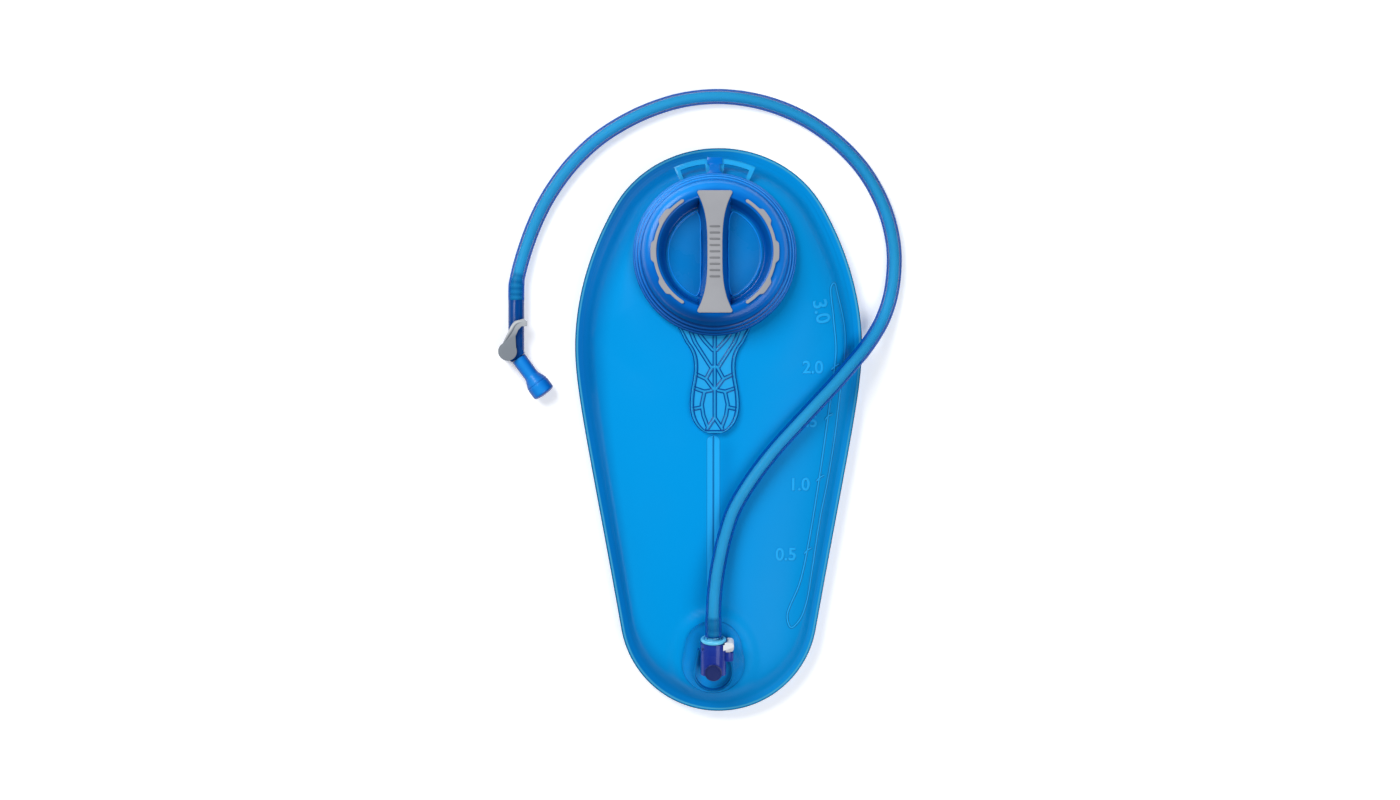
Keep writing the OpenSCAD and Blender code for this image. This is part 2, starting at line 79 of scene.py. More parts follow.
bag_low, bag_high = node_box("front_panel")
HALF_LEN = (bag_high[1] - bag_low[1]) / 2
HALF_W = (bag_high[0] - bag_low[0]) / 2
WELD_Z = bag_low[2]
WELD_W = 6.0          # width of the weld round the bag
FILM = 0.6            # thickness of the film
FRONT_RISE = 29.0     # how far the front film bulges over the weld
BACK_DROP = 22.0      # how far the back film bulges under it
NECK = np.array(JOINTS["cap_turn"]["pos_m"]) / MM
NECK_AXIS = np.array(JOINTS["cap_turn"]["axis"])
PORT = np.array([-4.0, -169.0, 33.5])
PORT_AXIS = np.array(JOINTS["plug_pull"]["axis"])
PLUG_Z = 10.2         # height of the plug's bore over the port's origin
FLANGE_GAP = 0.5      # how far the film lies under the origin of a flange
FLAT_R = 57.0         # flat film round the neck
PORT_FLAT_R = 28.5    # flat film round the exit port
PORT_TURN = 11.0      # how wide the film turns up from it
HOLE_R = 49.6         # filling hole
RING_R = 60.5         # outside of the tether ring
PLATEAU = 27.0        # top of the cap over the neck's origin
VALVE = np.array([-152.0, 56.0, 9.0])
ROTOR = np.array(JOINTS["lever_turn"]["pos_m"]) / MM
OUTLET = np.array(JOINTS["sheath_pull"]["axis"])
TUBE_D = 11.5
TUBE_BORE = 7.5


# ---- camera ------------

CAMERA_HEIGHT = 2200.0        # over the weld
VIEW_WIDTH = 1050.0           # what the camera takes in at the weld's height
VIEW_CENTRE = (-13.9, 22.1)


def add_object(name, data):
    obj = bpy.data.objects.new(name, data)
    bpy.context.scene.collection.objects.link(obj)
    return obj


def make_camera():
    data = bpy.data.cameras.new("camera")
    data.sensor_width = 36.0
    data.lens = data.sensor_width * CAMERA_HEIGHT / VIEW_WIDTH
    camera = add_object("camera", data)
    camera.location = (VIEW_CENTRE[0] * MM, VIEW_CENTRE[1] * MM, (WELD_Z + CAMERA_HEIGHT) * MM)
    bpy.context.scene.camera = camera


make_camera()


# ---- frames of the tilted parts ------------

def tilt(origin, up):
    """Matrix of a frame whose X is the object's X and whose Z runs along up."""
    z = Vector(up).normalized()
    x = Vector((1, 0, 0))
    y = z.cross(x).normalized()
    m = Matrix((x, y, z)).transposed().to_4x4()
    m.translation = Vector(origin)
    return m


def axis_frame(origin, axis):
    """Matrix of a frame whose Z runs along axis."""
    m = Vector(axis).to_track_quat("Z", "Y").to_matrix().to_4x4()
    m.translation = Vector(origin)
    return m


NECK_FRAME = tilt(NECK, NECK_AXIS)
PORT_FRAME = tilt(PORT, (0, -PORT_AXIS[2], PORT_AXIS[1]))
PLUG_FRAME = axis_frame(PORT_FRAME @ Vector((0, 0, PLUG_Z)), PORT_AXIS)
OUTLET_FRAME = axis_frame(VALVE, OUTLET)


# ---- small maths ------------

def ease(t):
    """Smooth step from 0 to 1 as t goes from 0 to 1."""
    c = np.clip(t, 0, 1)
    return c * c * (3 - 2 * c)


def bezier(p, n):
    """n points along a cubic curve, without its end."""
    p = np.array(p, float)
    t = (np.arange(n) / n)[:, None]
    return (1 - t) ** 3 * p[0] + 3 * (1 - t) ** 2 * t * p[1] + 3 * (1 - t) * t * t * p[2] + t ** 3 * p[3]


def between(t, t0, t1, a, b):
    """The line that is at a at t0 and at b at t1."""
    return (t1 - t) / (t1 - t0) * a + (t - t0) / (t1 - t0) * b


def spline(points, step, closed=False):
    """Smooth curve through the points (centripetal Catmull-Rom), with a point every step or so."""
    p = [np.array(q, float) for q in points]
    if closed:
        p = [p[-1], *p, p[0], p[1]]
    else:
        p = [2 * p[0] - p[1], *p, 2 * p[-1] - p[-2]]
    out = []
    for a, b, c, d in zip(p, p[1:], p[2:], p[3:]):
        k = [0.0]
        for u, v in ((a, b), (b, c), (c, d)):
            k.append(k[-1] + max(1e-6, np.linalg.norm(v - u) ** 0.5))
        count = max(1, int(round(np.linalg.norm(c - b) / step)))
        for s in range(count):
            t = k[1] + (k[2] - k[1]) * s / count
            ab = between(t, k[0], k[1], a, b)
            bc = between(t, k[1], k[2], b, c)
            cd = between(t, k[2], k[3], c, d)
            ac = between(t, k[0], k[2], ab, bc)
            bd = between(t, k[1], k[3], bc, cd)
            out.append(between(t, k[1], k[2], ac, bd))
    if not closed:
        out.append(p[-2])
    return np.array(out)


def distance_along(path):
    """Distance of each point of a line from its first point."""
    return np.concatenate([[0], np.cumsum(np.linalg.norm(np.diff(path, axis=0), axis=1))])


def unit_rows(vectors):
    return vectors / np.linalg.norm(vectors, axis=1)[:, None]


def even(points, n):
    """n points spaced evenly along a closed line."""
    p = np.vstack([points, points[:1]])
    s = distance_along(p)
    at = np.linspace(0, s[-1], n, endpoint=False)
    return np.column_stack([np.interp(at, s, p[:, 0]), np.interp(at, s, p[:, 1])])


def rounded(profile, radius, steps=4):
    """A profile with its corners rounded, apart from its two ends."""
    p = [np.array(q, float) for q in profile]
    out = [p[0]]
    for i, q in enumerate(p[1:-1], 1):
        a, b = p[i - 1] - q, p[i + 1] - q
        la, lb = np.linalg.norm(a), np.linalg.norm(b)
        r = min(radius, la * 0.45, lb * 0.45)
        start, end = q + a / la * r, q + b / lb * r
        for k in range(steps + 1):
            t = k / steps
            out.append((1 - t) ** 2 * start + 2 * t * (1 - t) * q + t * t * end)
    return np.array([*out, p[-1]])


# ---- mesh building ------------

@contextmanager
def editing(mesh):
    """Opens a mesh as a bmesh and writes it back."""
    b = bmesh.new()
    b.from_mesh(mesh)
    yield b
    b.to_mesh(mesh)
    b.free()


def finish_mesh(obj, smooth_angle=40):
    """Smooth shading with an edge wherever the faces turn by more than smooth_angle; 0 leaves no edge."""
    for poly in obj.data.polygons:
        poly.use_smooth = True
    if smooth_angle:
        obj.data.set_sharp_from_angle(angle=math.radians(smooth_angle))
    return obj


def make(name, verts, faces, matrix=None, smooth_angle=40):
    """A mesh object from points in millimetres, placed by matrix."""
    mesh = bpy.data.meshes.new(name)
    v = np.array(verts, float)
    if matrix is not None:
        m = np.array(matrix)
        v = v @ m[:3, :3].T + m[:3, 3]
    mesh.from_pydata((v * MM).tolist(), [], [list(f) for f in faces])
    mesh.validate()
    obj = add_object(name, mesh)
    with editing(mesh) as b:
        bmesh.ops.recalc_face_normals(b, faces=b.faces)
    return finish_mesh(obj, smooth_angle)


def grid_faces(rows, cols, wrap_rows=False, wrap_cols=False):
    """Faces between rows of cols points."""
    out = []
    for r in range(rows if wrap_rows else rows - 1):
        for c in range(cols if wrap_cols else cols - 1):
            r1, c1 = (r + 1) % rows, (c + 1) % cols
            out.append((r * cols + c, r * cols + c1, r1 * cols + c1, r1 * cols + c))
    return out


def end_faces(rows, cols):
    """The two end faces of rows of cols points that run round."""
    last = (rows - 1) * cols
    return [list(range(cols)), list(range(last, last + cols))[::-1]]


def full_turn(n):
    """n angles spaced evenly round a circle."""
    return np.linspace(0, 2 * math.pi, n, endpoint=False)


def slab_faces(n, first=0):
    """Faces of a slab: n points round its underside, from the one numbered first, then n round its top."""
    faces = [range(n)[::-1], range(n, 2 * n)]
    faces += [(i, (i + 1) % n, n + (i + 1) % n, n + i) for i in range(n)]
    return [[first + i for i in face] for face in faces]


def lathe(name, profile, matrix, steps, closed=True):
    """A revolved profile of (radius, height) points. A closed one ends where it starts and makes a ring."""
    profile = np.array(profile, float)
    if closed:
        profile = profile[:-1]
    n = len(profile)
    verts = [(r * math.cos(a), r * math.sin(a), z) for a in full_turn(steps) for r, z in profile]
    faces = grid_faces(steps, n, True, closed)
    if not closed:
        faces.append([i * n for i in range(steps)])
        faces.append([i * n + n - 1 for i in range(steps)][::-1])
    return make(name, verts, faces, matrix, 50)


def tube(name, path, outer, sides, inner=None):
    """A tube along path. outer gives the radius at each point, inner that of its bore."""
    ahead = unit_rows(np.gradient(path, axis=0))
    across = unit_rows(np.cross(ahead, (0, 0, 1.0)))
    upright = np.cross(ahead, across)
    a = full_turn(sides)[:, None]

    def ring(k, radius):
        return path[k] + radius * (np.cos(a) * across[k] + np.sin(a) * upright[k])

    rows = [ring(k, outer[k]) for k in range(len(path))]
    if inner is not None:
        rows += [ring(k, inner[k]) for k in reversed(range(len(path)))]
    faces = grid_faces(len(rows), sides, inner is not None, True)
    if inner is None:
        faces += end_faces(len(rows), sides)
    return make(name, np.vstack(rows), faces)


def slab(name, edge, z0, z1, matrix):
    """A plate from z0 to z1 with the outline edge."""
    verts = [(x, y, z) for z in (z0, z1) for x, y in edge]
    return make(name, verts, slab_faces(len(edge)), matrix, 0)


def soften(obj, width, segments=3, angle=35):
    """Rounds an object's edges by width millimetres."""
    mod = obj.modifiers.new("bevel", "BEVEL")
    mod.width = width * MM
    mod.segments = segments
    mod.limit_method = "ANGLE"
    mod.angle_limit = math.radians(angle)
    apply_modifiers(obj)
    return finish_mesh(obj, 38)


def apply_modifiers(obj):
    bpy.context.view_layer.update()
    graph = bpy.context.evaluated_depsgraph_get()
    mesh = bpy.data.meshes.new_from_object(obj.evaluated_get(graph))
    obj.modifiers.clear()
    obj.data = mesh


def set_attribute(obj, name, values, domain="POINT"):
    a = obj.data.attributes.new(name, "FLOAT", domain)
    a.data.foreach_set("value", np.asarray(values, np.float32))


FLAT_FACING = 0.93    # faces that look along an axis at least this much count as flat to it


def mark_sides(obj, axis):
    """Sets line to 1 on the faces that turn away from axis, which clear plastic paints dark for the light
    that it bends.
    """
    up = Vector(axis).normalized()
    facing = [abs(p.normal.dot(up)) for p in obj.data.polygons]
    set_attribute(obj, "line", np.array(facing) < FLAT_FACING, "FACE")


def light_by_normal(obj, towards, base, gain, power, extra_light=None):
    """Paints light into tone from the way that each point faces, as light from one side would give; the last
    argument, if given, adds more painted light.
    """
    side = Vector(towards).normalized()
    reach = [max(0.0, v.normal.dot(side)) ** power for v in obj.data.vertices]
    away = [max(0.0, -v.normal.dot(side)) for v in obj.data.vertices]
    tone = base + gain * (np.array(reach) - np.array(away))
    if extra_light is not None:
        tone = tone + [extra_light(v.co / MM) for v in obj.data.vertices]
    set_attribute(obj, "tone", np.clip(tone, 0, 1))
    return obj


def cad_copy(node, name, bevel, segments=3):
    """A copy of a CAD node's mesh with its edges rounded."""
    source = frame["nodes"][node]
    mesh = source.data.copy()
    mesh.name = name
    mesh.materials.clear()
    with editing(mesh) as b:
        bmesh.ops.remove_doubles(b, verts=b.verts, dist=1e-6)
        bmesh.ops.dissolve_limit(b, angle_limit=math.radians(2), verts=b.verts, edges=b.edges)
    if "custom_normal" in mesh.attributes:
        mesh.attributes.remove(mesh.attributes["custom_normal"])
    return soften(add_object(name, mesh), bevel, segments, 28)


# ---- materials ------------

def set_inputs(tree, shader_node, inputs):
    """Sets each input of a shader node, or links it where its value is a socket."""
    for key, value in inputs.items():
        if isinstance(value, bpy.types.NodeSocket):
            tree.links.new(value, shader_node.inputs[key])
        else:
            shader_node.inputs[key].default_value = value


def node(tree, kind, inputs, **values):
    """A shader node with its inputs set or linked."""
    n = tree.nodes.new(kind)
    for key, value in values.items():
        setattr(n, key, value)
    set_inputs(tree, n, inputs)
    return n


def noise(tree, scale, detail=3.0):
    where = node(tree, "ShaderNodeTexCoord", {}).outputs["Object"]
    inputs = {"Vector": where, "Scale": scale, "Detail": detail}
    return node(tree, "ShaderNodeTexNoise", inputs).outputs["Fac"]


def attribute(tree, name):
    return node(tree, "ShaderNodeAttribute", {}, attribute_name=name).outputs["Fac"]


def maths(tree, operation, *values):
    return node(tree, "ShaderNodeMath", dict(enumerate(values)), operation=operation).outputs[0]


def mix(tree, factor, a, b):
    """Colour mix of a and b, each a socket or three numbers."""
    a, b = (c if isinstance(c, bpy.types.NodeSocket) else (*c, 1) for c in (a, b))
    return node(tree, "ShaderNodeMix", {0: factor, 6: a, 7: b}, data_type="RGBA").outputs[2]


def ramp(tree, value, low, high, to_low=0.0, to_high=1.0, smooth=True):
    """Takes the range from low to high to the range from to_low to to_high."""
    n = node(tree, "ShaderNodeMapRange", {"Value": value, "From Min": low, "From Max": high,
                                          "To Min": to_low, "To Max": to_high})
    n.interpolation_type = "SMOOTHSTEP" if smooth else "LINEAR"
    return n.outputs["Result"]


def cloudy(tree, scale, low, high, detail=3.0):
    """A soft variation between two levels. A larger scale gives smaller clouds."""
    return ramp(tree, noise(tree, scale, detail), 0.3, 0.7, low, high)


def bump(tree, height, strength, distance):
    return node(tree, "ShaderNodeBump", {"Height": height, "Strength": strength,
                                         "Distance": distance}).outputs["Normal"]


def plastic(tree, dark, light, rough, coat=0.0, grain=900.0, grain_strength=0.05, cloud=25.0):
    """Moulded plastic: cloudy colour, fine moulded grain and uneven gloss."""
    return {
        "Base Color": mix(tree, cloudy(tree, cloud, 0, 1), dark, light),
        "Roughness": cloudy(tree, cloud * 3, rough - 0.08, rough + 0.08, 5.0),
        "Normal": bump(tree, noise(tree, grain, 2.0), grain_strength, 0.0002),
        "Specular IOR Level": 0.18, "Coat Weight": coat, "Coat Roughness": 0.08}


# Lines along the weld: start and end in millimetres from the edge, softness, strength and colour
WELD_LINES = [(-1.0, 0.6, 0.3, 1.0, (0.0, 0.09, 0.15)), (1.0, 2.4, 0.45, 0.85, (0.02, 0.28, 0.50)),
              (1.3, 2.0, 0.35, 0.6, (0.10, 0.42, 0.60))]


def film(tree, bright, shade_colour, edge_lines=False):
    """Translucent film with painted shade: bright where its shade attribute is 0, and dark where it is 1."""
    painted_shade = attribute(tree, "painted_shade")
    cloud = ramp(tree, noise(tree, 9.0, 2.0), 0.25, 0.75, -0.05, 0.05)
    shade = maths(tree, "ADD", painted_shade, cloud)
    colour = mix(tree, ramp(tree, shade, 0.0, 1.0, smooth=False), bright, shade_colour)
    if edge_lines:
        edge = attribute(tree, "edge")
        for start, stop, soft, weight, tone in WELD_LINES:
            begins = ramp(tree, edge, start - soft, start + soft)
            ends = ramp(tree, edge, stop - soft, stop + soft, weight, 0.0)
            colour = mix(tree, maths(tree, "MULTIPLY", begins, ends), colour, tone)
    gloss = cloudy(tree, 14.0, 0.30, 0.40, 4.0)
    fine = noise(tree, 420.0)
    height = maths(tree, "MULTIPLY_ADD", fine, 0.12, noise(tree, 38.0, 2.0))
    return {
        "Base Color": colour, "Roughness": gloss, "Normal": bump(tree, height, 0.14, 0.0012),
        "IOR": 1.5, "Specular IOR Level": 0.05}


def toned(tree, navy, mid, light, rough, coat):
    """Plastic whose tone attribute says how much light reaches it, from 0 for navy to 1 for light."""
    tone = attribute(tree, "tone")
    tone = maths(tree, "ADD", tone, cloudy(tree, 30.0, -0.03, 0.03))
    low = mix(tree, ramp(tree, tone, 0.0, 0.5, smooth=False), navy, mid)
    return {
        "Base Color": mix(tree, ramp(tree, tone, 0.5, 1.0, smooth=False), low, light),
        "Roughness": cloudy(tree, 90.0, rough, rough + 0.08),
        "Normal": bump(tree, noise(tree, 900.0, 2.0), 0.02, 0.0002),
        "Specular IOR Level": 0.14, "Coat Weight": coat, "Coat Roughness": 0.1}


def clear(tree, web, line, web_alpha, line_alpha):
    """Clear moulded plastic; the line attribute marks the flanks, which are painted dark and less clear, for
    the light that the plastic bends there.
    """
    flank = ramp(tree, attribute(tree, "line"), 0.05, 0.6)
    return {
        "Base Color": mix(tree, flank, web, line),
        "Alpha": ramp(tree, flank, 0.0, 1.0, web_alpha, line_alpha, False),
        "Roughness": cloudy(tree, 60.0, 0.14, 0.20),
        "Normal": bump(tree, noise(tree, 120.0, 2.0), 0.03, 0.0003),
        "Specular IOR Level": 0.2, "Coat Weight": 0.12, "Coat Roughness": 0.12}


def scaled(colour, factor):
    return [c * factor for c in colour]


def tube_wall(tree, wall, face_alpha, rim_alpha):
    """Translucent tube wall: the longer way through it at the sides hides what is behind."""
    colour = mix(tree, cloudy(tree, 18.0, 0, 1, 2.0), wall, scaled(wall, 1.15))
    facing = node(tree, "ShaderNodeLayerWeight", {"Blend": 0.5}).outputs["Facing"]
    return {
        "Base Color": colour,
        "Alpha": ramp(tree, facing, 0.10, 0.55, face_alpha, rim_alpha),
        "Roughness": cloudy(tree, 40.0, 0.2, 0.26),
        "Normal": bump(tree, noise(tree, 60.0), 0.02, 0.0004),
        "Specular IOR Level": 0.06}


def tube_bore(tree, pale, seated):
    """Bore of the tube: painted pale where it is empty, standing in for the light that shines through the
    clear tube, and darker where the seat attribute says that a barb fills it.
    """
    seat = attribute(tree, "seat")
    light = mix(tree, cloudy(tree, 22.0, 0, 1), pale, scaled(pale, 0.92))
    return {
        "Base Color": mix(tree, seat, light, seated),
        "Roughness": cloudy(tree, 40.0, 0.45, 0.55),
        "Specular IOR Level": 0.1}


def metal(tree):
    """Bright drawn steel."""
    return {
        "Base Color": mix(tree, noise(tree, 400.0), (0.45, 0.46, 0.48), (0.62, 0.63, 0.65)),
        "Metallic": 1.0,
        "Roughness": cloudy(tree, 900.0, 0.22, 0.36)}


FINISHES = {
    # Film colours: lit, then full painted shade; the raised film's pair paints a highlight on its crests and
    # shade on its flanks
    "film": (film, (0.0, 0.285, 0.70), (0.0, 0.125, 0.41), True),
    "film_plain": (film, (0.0, 0.285, 0.70), (0.0, 0.125, 0.41)),
    "film_raised": (film, (0.015, 0.39, 0.85), (0.0, 0.075, 0.27)),
    # clear plastic: its own colour, then the dark painted on its flanks for the light that they bend
    "clear": (clear, (0.03, 0.52, 1.0), (0.0, 0.055, 0.26), 0.5, 0.9),
    "clear_thin": (clear, (0.01, 0.42, 0.98), (0.0, 0.07, 0.36), 0.12, 0.75),
    "cap_blue": (toned, (0.0, 0.03, 0.145), (0.0, 0.122, 0.51), (0.008, 0.29, 0.86), 0.16, 0.12),
    "cap_clear": (plastic, (0.0, 0.17, 0.50), (0.0, 0.185, 0.53), 0.3, 0.05, 900.0, 0.01, 12.0),
    "tether": (plastic, (0.0, 0.14, 0.55), (0.0, 0.17, 0.60), 0.24, 0.1),
    "grip": (plastic, (0.30, 0.305, 0.33), (0.335, 0.34, 0.365), 0.55, 0.0, 1500.0, 0.3),
    "grip_mark": (plastic, (0.17, 0.175, 0.19), (0.20, 0.205, 0.22), 0.6, 0.0, 1500.0, 0.3),
    "seal": (plastic, (0.55, 0.55, 0.53), (0.62, 0.62, 0.60), 0.5),
    "housing": (plastic, (0.008, 0.026, 0.26), (0.014, 0.048, 0.34), 0.25, 0.1),
    "hub": (plastic, (0.012, 0.022, 0.12), (0.02, 0.034, 0.16), 0.3, 0.1),
    "button": (plastic, (0.70, 0.72, 0.76), (0.80, 0.82, 0.85), 0.38, 0.0, 1300.0, 0.2),
    "collar": (plastic, (0.08, 0.50, 0.80), (0.14, 0.60, 0.88), 0.2, 0.3),
    "spring": (metal,),
    "tube": (tube_wall, (0.0, 0.075, 0.36), 0.32, 0.98),
    "tube_core": (tube_bore, (0.045, 0.64, 1.0), (0.0, 0.22, 0.46)),
    "valve": (plastic, (0.0, 0.035, 0.18), (0.0, 0.055, 0.26), 0.25, 0.15),
    "lever": (toned, (0.07, 0.08, 0.10), (0.21, 0.235, 0.265), (0.52, 0.54, 0.56), 0.4, 0.05),
    "rotor": (plastic, (0.22, 0.24, 0.27), (0.28, 0.30, 0.33), 0.42, 0.0, 1400.0, 0.25),
    "sheath": (toned, (0.0, 0.045, 0.26), (0.0, 0.165, 0.60), (0.02, 0.32, 0.84), 0.3, 0.1),
}


def material(name, recipe, *values):
    m = bpy.data.materials.new(name)
    m.use_nodes = True
    tree = m.node_tree
    set_inputs(tree, tree.nodes["Principled BSDF"], recipe(tree, *values))
    return m


MATERIALS = {name: material(name, *finish) for name, finish in FINISHES.items()}


def dress(obj, finish, body, nodes=()):
    """Gives a new piece its material, its body and the CAD nodes that it stands for."""
    obj.data.materials.clear()
    obj.data.materials.append(MATERIALS[finish])
    if nodes:
        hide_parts(*nodes)
    if body:
        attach(obj, body)
    return obj


def paint_node(name, finish):
    """A CAD node that stays gets a better material."""
    data = frame["nodes"][name].data
    data.materials.clear()
    data.materials.append(MATERIALS[finish])


# ---- drink tube ------------

FLOOR_Z = 5.8         # height of the tube's middle where it lies on the floor
# The tube's way from the port over the bag, round on the floor, and up to the valve
ROUTE = [
    (-4, -152, 48.6), (-4, -137, 52.2), (-3.5, -124, 52.6), (-2, -110, 51.6), (0, -98, 50.4),
    (4, -80, 49.6), (11, -59, 49.3), (24, -37, 48.8), (40, -16, 47), (58, 4, 43.8),
    (74, 21, 39.5), (88, 36, 34.3), (98, 47.5, 29), (108, 59, 22.3), (116, 70, 15.4),
    (122.5, 81, 10), (127, 92, 7.2), (130, 103, 6)]
ROUTE += [(x, y, FLOOR_Z) for x, y in (
    (132, 118), (132, 136), (128.5, 155), (122, 173), (112, 191), (100, 206), (83, 221.5), (64, 234),
    (42, 243.5), (19, 249), (-4, 250.5), (-29, 247.5), (-54, 239.5), (-75, 229), (-92, 217.5),
    (-107, 203.5), (-119, 189), (-130, 172), (-138.5, 154.5))]
ROUTE += [(-145, 137, 6.2), (-149.6, 121, 7.9), (-151.7, 110.5, 8.9), (-152, 103.5, 9), (-152, 97, 9)]
HOSE_SIDES = 40
PLUG_BARB = 14.0      # how far the plug's barbs reach into the tube
VALVE_BARB = 19.0     # how far the valve's barbs reach into it
BARB_PITCH = 4.5
BARB_SWELL = 0.35     # how far the barbs stretch the tube


def make_hose():
    """The drink tube, stretched over the barbs at both ends, which show through its wall."""
    path = spline(ROUTE, 2.5)
    s = distance_along(path)
    from_valve = s[-1] - s
    from_end = np.minimum(s, from_valve)
    swell = BARB_SWELL * ease((PLUG_BARB - from_end) / 4.0 + 0.5)
    outer = TUBE_D / 2 + swell
    inner = TUBE_BORE / 2 + 1.7 * swell + 0.55 * ease((VALVE_BARB - from_valve) / 4.0)
    hose = tube("drink_hose", path, outer, HOSE_SIDES, inner)
    dress(hose, "tube", "drink_tube", ["hose"])
    hose.data.materials.append(MATERIALS["tube_core"])
    first_in_bore = HOSE_SIDES * len(path)
    for poly in hose.data.polygons:
        if all(v >= first_in_bore for v in poly.vertices):
            poly.material_index = 1
    on_barbs = ease(np.maximum(PLUG_BARB - s, VALVE_BARB - from_valve) / 1.5 + 0.5)
    seat = on_barbs * (0.72 + 0.25 * np.cos(from_end * 2 * math.pi / BARB_PITCH))
    set_attribute(hose, "seat", np.repeat(np.concatenate([seat, seat[::-1]]), HOSE_SIDES))
    return hose, path, s[-1]


# ---- exit port and plug ------------

NIPPLE_Y = -5.5       # where the base's nipple enters the housing's round end
HUB_Z = 8.65          # flat top of that end over the plug's axis
SPRING_Y = 9.1        # where the button's spring lies along the port


def carve(obj, cutter):
    """Cuts cutter out of obj and removes it."""
    mod = obj.modifiers.new("cut", "BOOLEAN")
    mod.operation = "DIFFERENCE"
    mod.solver = "EXACT"
    mod.object = cutter
    apply_modifiers(obj)
    bpy.data.objects.remove(cutter)
    return finish_mesh(obj)


def make_spring():
    """The button's return spring."""
    start, end, coil_r, wire, turns = 6.15, 8.65, 0.98, 0.2, 3
    around = np.linspace(0, 2 * math.pi * turns, 24 * turns + 1)
    sides = full_turn(10)
    verts = []
    for a in around:
        x = start + wire + (end - start - 2 * wire) * a / around[-1]
        for b in sides:
            r = coil_r + wire * math.cos(b)
            verts.append((x + wire * math.sin(b), SPRING_Y + r * math.cos(a), PLUG_Z + r * math.sin(a)))
    faces = grid_faces(len(around), len(sides), False, True) + end_faces(len(around), len(sides))
    spring = make("spring_coil", verts, faces, PORT_FRAME)
    dress(spring, "spring", "root", ["button_spring"])
    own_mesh(spring)


def make_base():
    base = cad_copy("exit_port_base", "clear_port_base", 0.55)
    mark_sides(base, PORT_FRAME.to_3x3() @ Vector((0, 0, 1)))
    dress(base, "clear_thin", "root", ["exit_port_base"])


def make_housing():
    """The blue elbow housing, with a darker disc on its round end."""
    dress(cad_copy("plug_housing", "port_body", 0.7, 4), "housing", "root", ["plug_housing"])
    profile = [(0.01, 0.0), (6.3, 0.0), (6.35, 0.3), (6.1, 0.55), (5.6, 0.55), (5.3, 0.15), (0.01, 0.15)]
    place = PORT_FRAME @ Matrix.Translation((0, NIPPLE_Y, PLUG_Z + HUB_Z))
    dress(lathe("port_hub", profile, place, 80, closed=False), "hub", "root")


def make_button():
    """The white button, with a slanted finger face cut into its upper half."""
    button = cad_copy("release_button", "button_key", 0.6, 4)
    wedge = [(5.0, 6.0), (17.0, 6.0), (17.0, 14.6), (5.0, 10.2)]
    carve(button, slab("wedge", wedge, PLUG_Z + 2.6, PLUG_Z + 9, PORT_FRAME))
    dress(soften(button, 0.8, 4, 50), "button", "release_button", ["release_button"])


def make_plug():
    """The barbed plug, and the light ring that shows at the housing's mouth."""
    plug = cad_copy("hose_plug", "barb_plug", 0.15, 2)
    dress(plug, "collar", "drink_tube", ["hose_plug"])
    profile = [(4.25, 15.8), (8.7, 15.8), (9.4, 16.6), (9.4, 17.9), (8.7, 18.7), (7.4, 18.7), (6.9, 17.4),
               (6.0, 17.0), (5.6, 18.2), (4.9, 18.4), (4.25, 17.6), (4.25, 15.8)]
    collar = lathe("plug_rim", rounded(profile, 0.4), PLUG_FRAME, 120)
    dress(collar, "collar", "drink_tube", ["plug_collar"])
    return [plug, collar, frame["nodes"]["plug_o_ring"]]


def make_port():
    """The exit port; gives the pieces that ride on the tube."""
    make_base()
    make_housing()
    make_spring()
    paint_node("latch_plate", "spring")
    paint_node("plug_o_ring", "seal")
    make_button()
    return make_plug()


# ---- shut-off and bite valve ------------

def make_sheath():
    """The soft bite sheath, with the slit in its end that opens when it is bitten."""
    profile = [(4.3, 3.0), (5.7, 3.0), (5.7, 9.0), (5.6, 15.5), (5.6, 19.5), (8.2, 25.6), (8.6, 26.2),
               (8.15, 26.9), (8.6, 27.6), (8.6, 34.4), (8.2, 35.6), (6.0, 36.4), (0.01, 37.0), (0.01, 34.4),
               (6.4, 33.6), (6.8, 28.0), (4.3, 21.5), (4.3, 3.0)]
    sheath = lathe("sheath_skin", rounded(profile, 0.9, 5), OUTLET_FRAME, 120)
    slit = [(-4.6, -0.2), (4.6, -0.2), (4.6, 0.2), (-4.6, 0.2)]
    carve(sheath, slab("slit", slit, 35.6, 38.0, OUTLET_FRAME))
    light_by_normal(sheath, (-0.2, 0.1, 1), 0.04, 0.72, 2.2)
    return dress(sheath, "sheath", "bite_sheath", ["bite_sheath"])


LEVER_LIGHT = (-0.75, 0.6, 0.3)
# The raised ridge along the lever's blade, measured from the rotor's axis
LEVER_RIDGE = [(-2.8, 6.2), (-0.2, 10.6), (2.6, 15.4), (4.9, 19.6), (7.4, 21.5), (11.6, 22.2)]


def lever_tip_light(p):
    """Painted light that grows along the lever's blade towards its tip, as if the blade turned up to the
    light.
    """
    return 0.32 * float(ease((p.y - ROTOR[1] - 9) / 11))


def make_lever():
    lever = cad_copy("valve_lever", "lever_key", 1.4, 6)
    light_by_normal(lever, LEVER_LIGHT, 0.30, 0.58, 1.0, lever_tip_light)
    dress(lever, "lever", "valve_lever", ["valve_lever"])
    line = spline(LEVER_RIDGE, 0.5)
    along = np.linspace(0, 1, len(line))
    thick = 0.35 + 1.35 * np.sin(math.pi * (0.06 + 0.86 * along)) ** 0.7
    top = node_box("valve_lever")[1][2]
    path = np.column_stack([ROTOR[:2] + line, np.full(len(line), top - 0.95)])
    ridge = tube("lever_ridge", path, thick, 24)
    light_by_normal(ridge, LEVER_LIGHT, 0.38, 0.62, 1.0, lever_tip_light)
    dress(ridge, "lever", "valve_lever")
    return lever


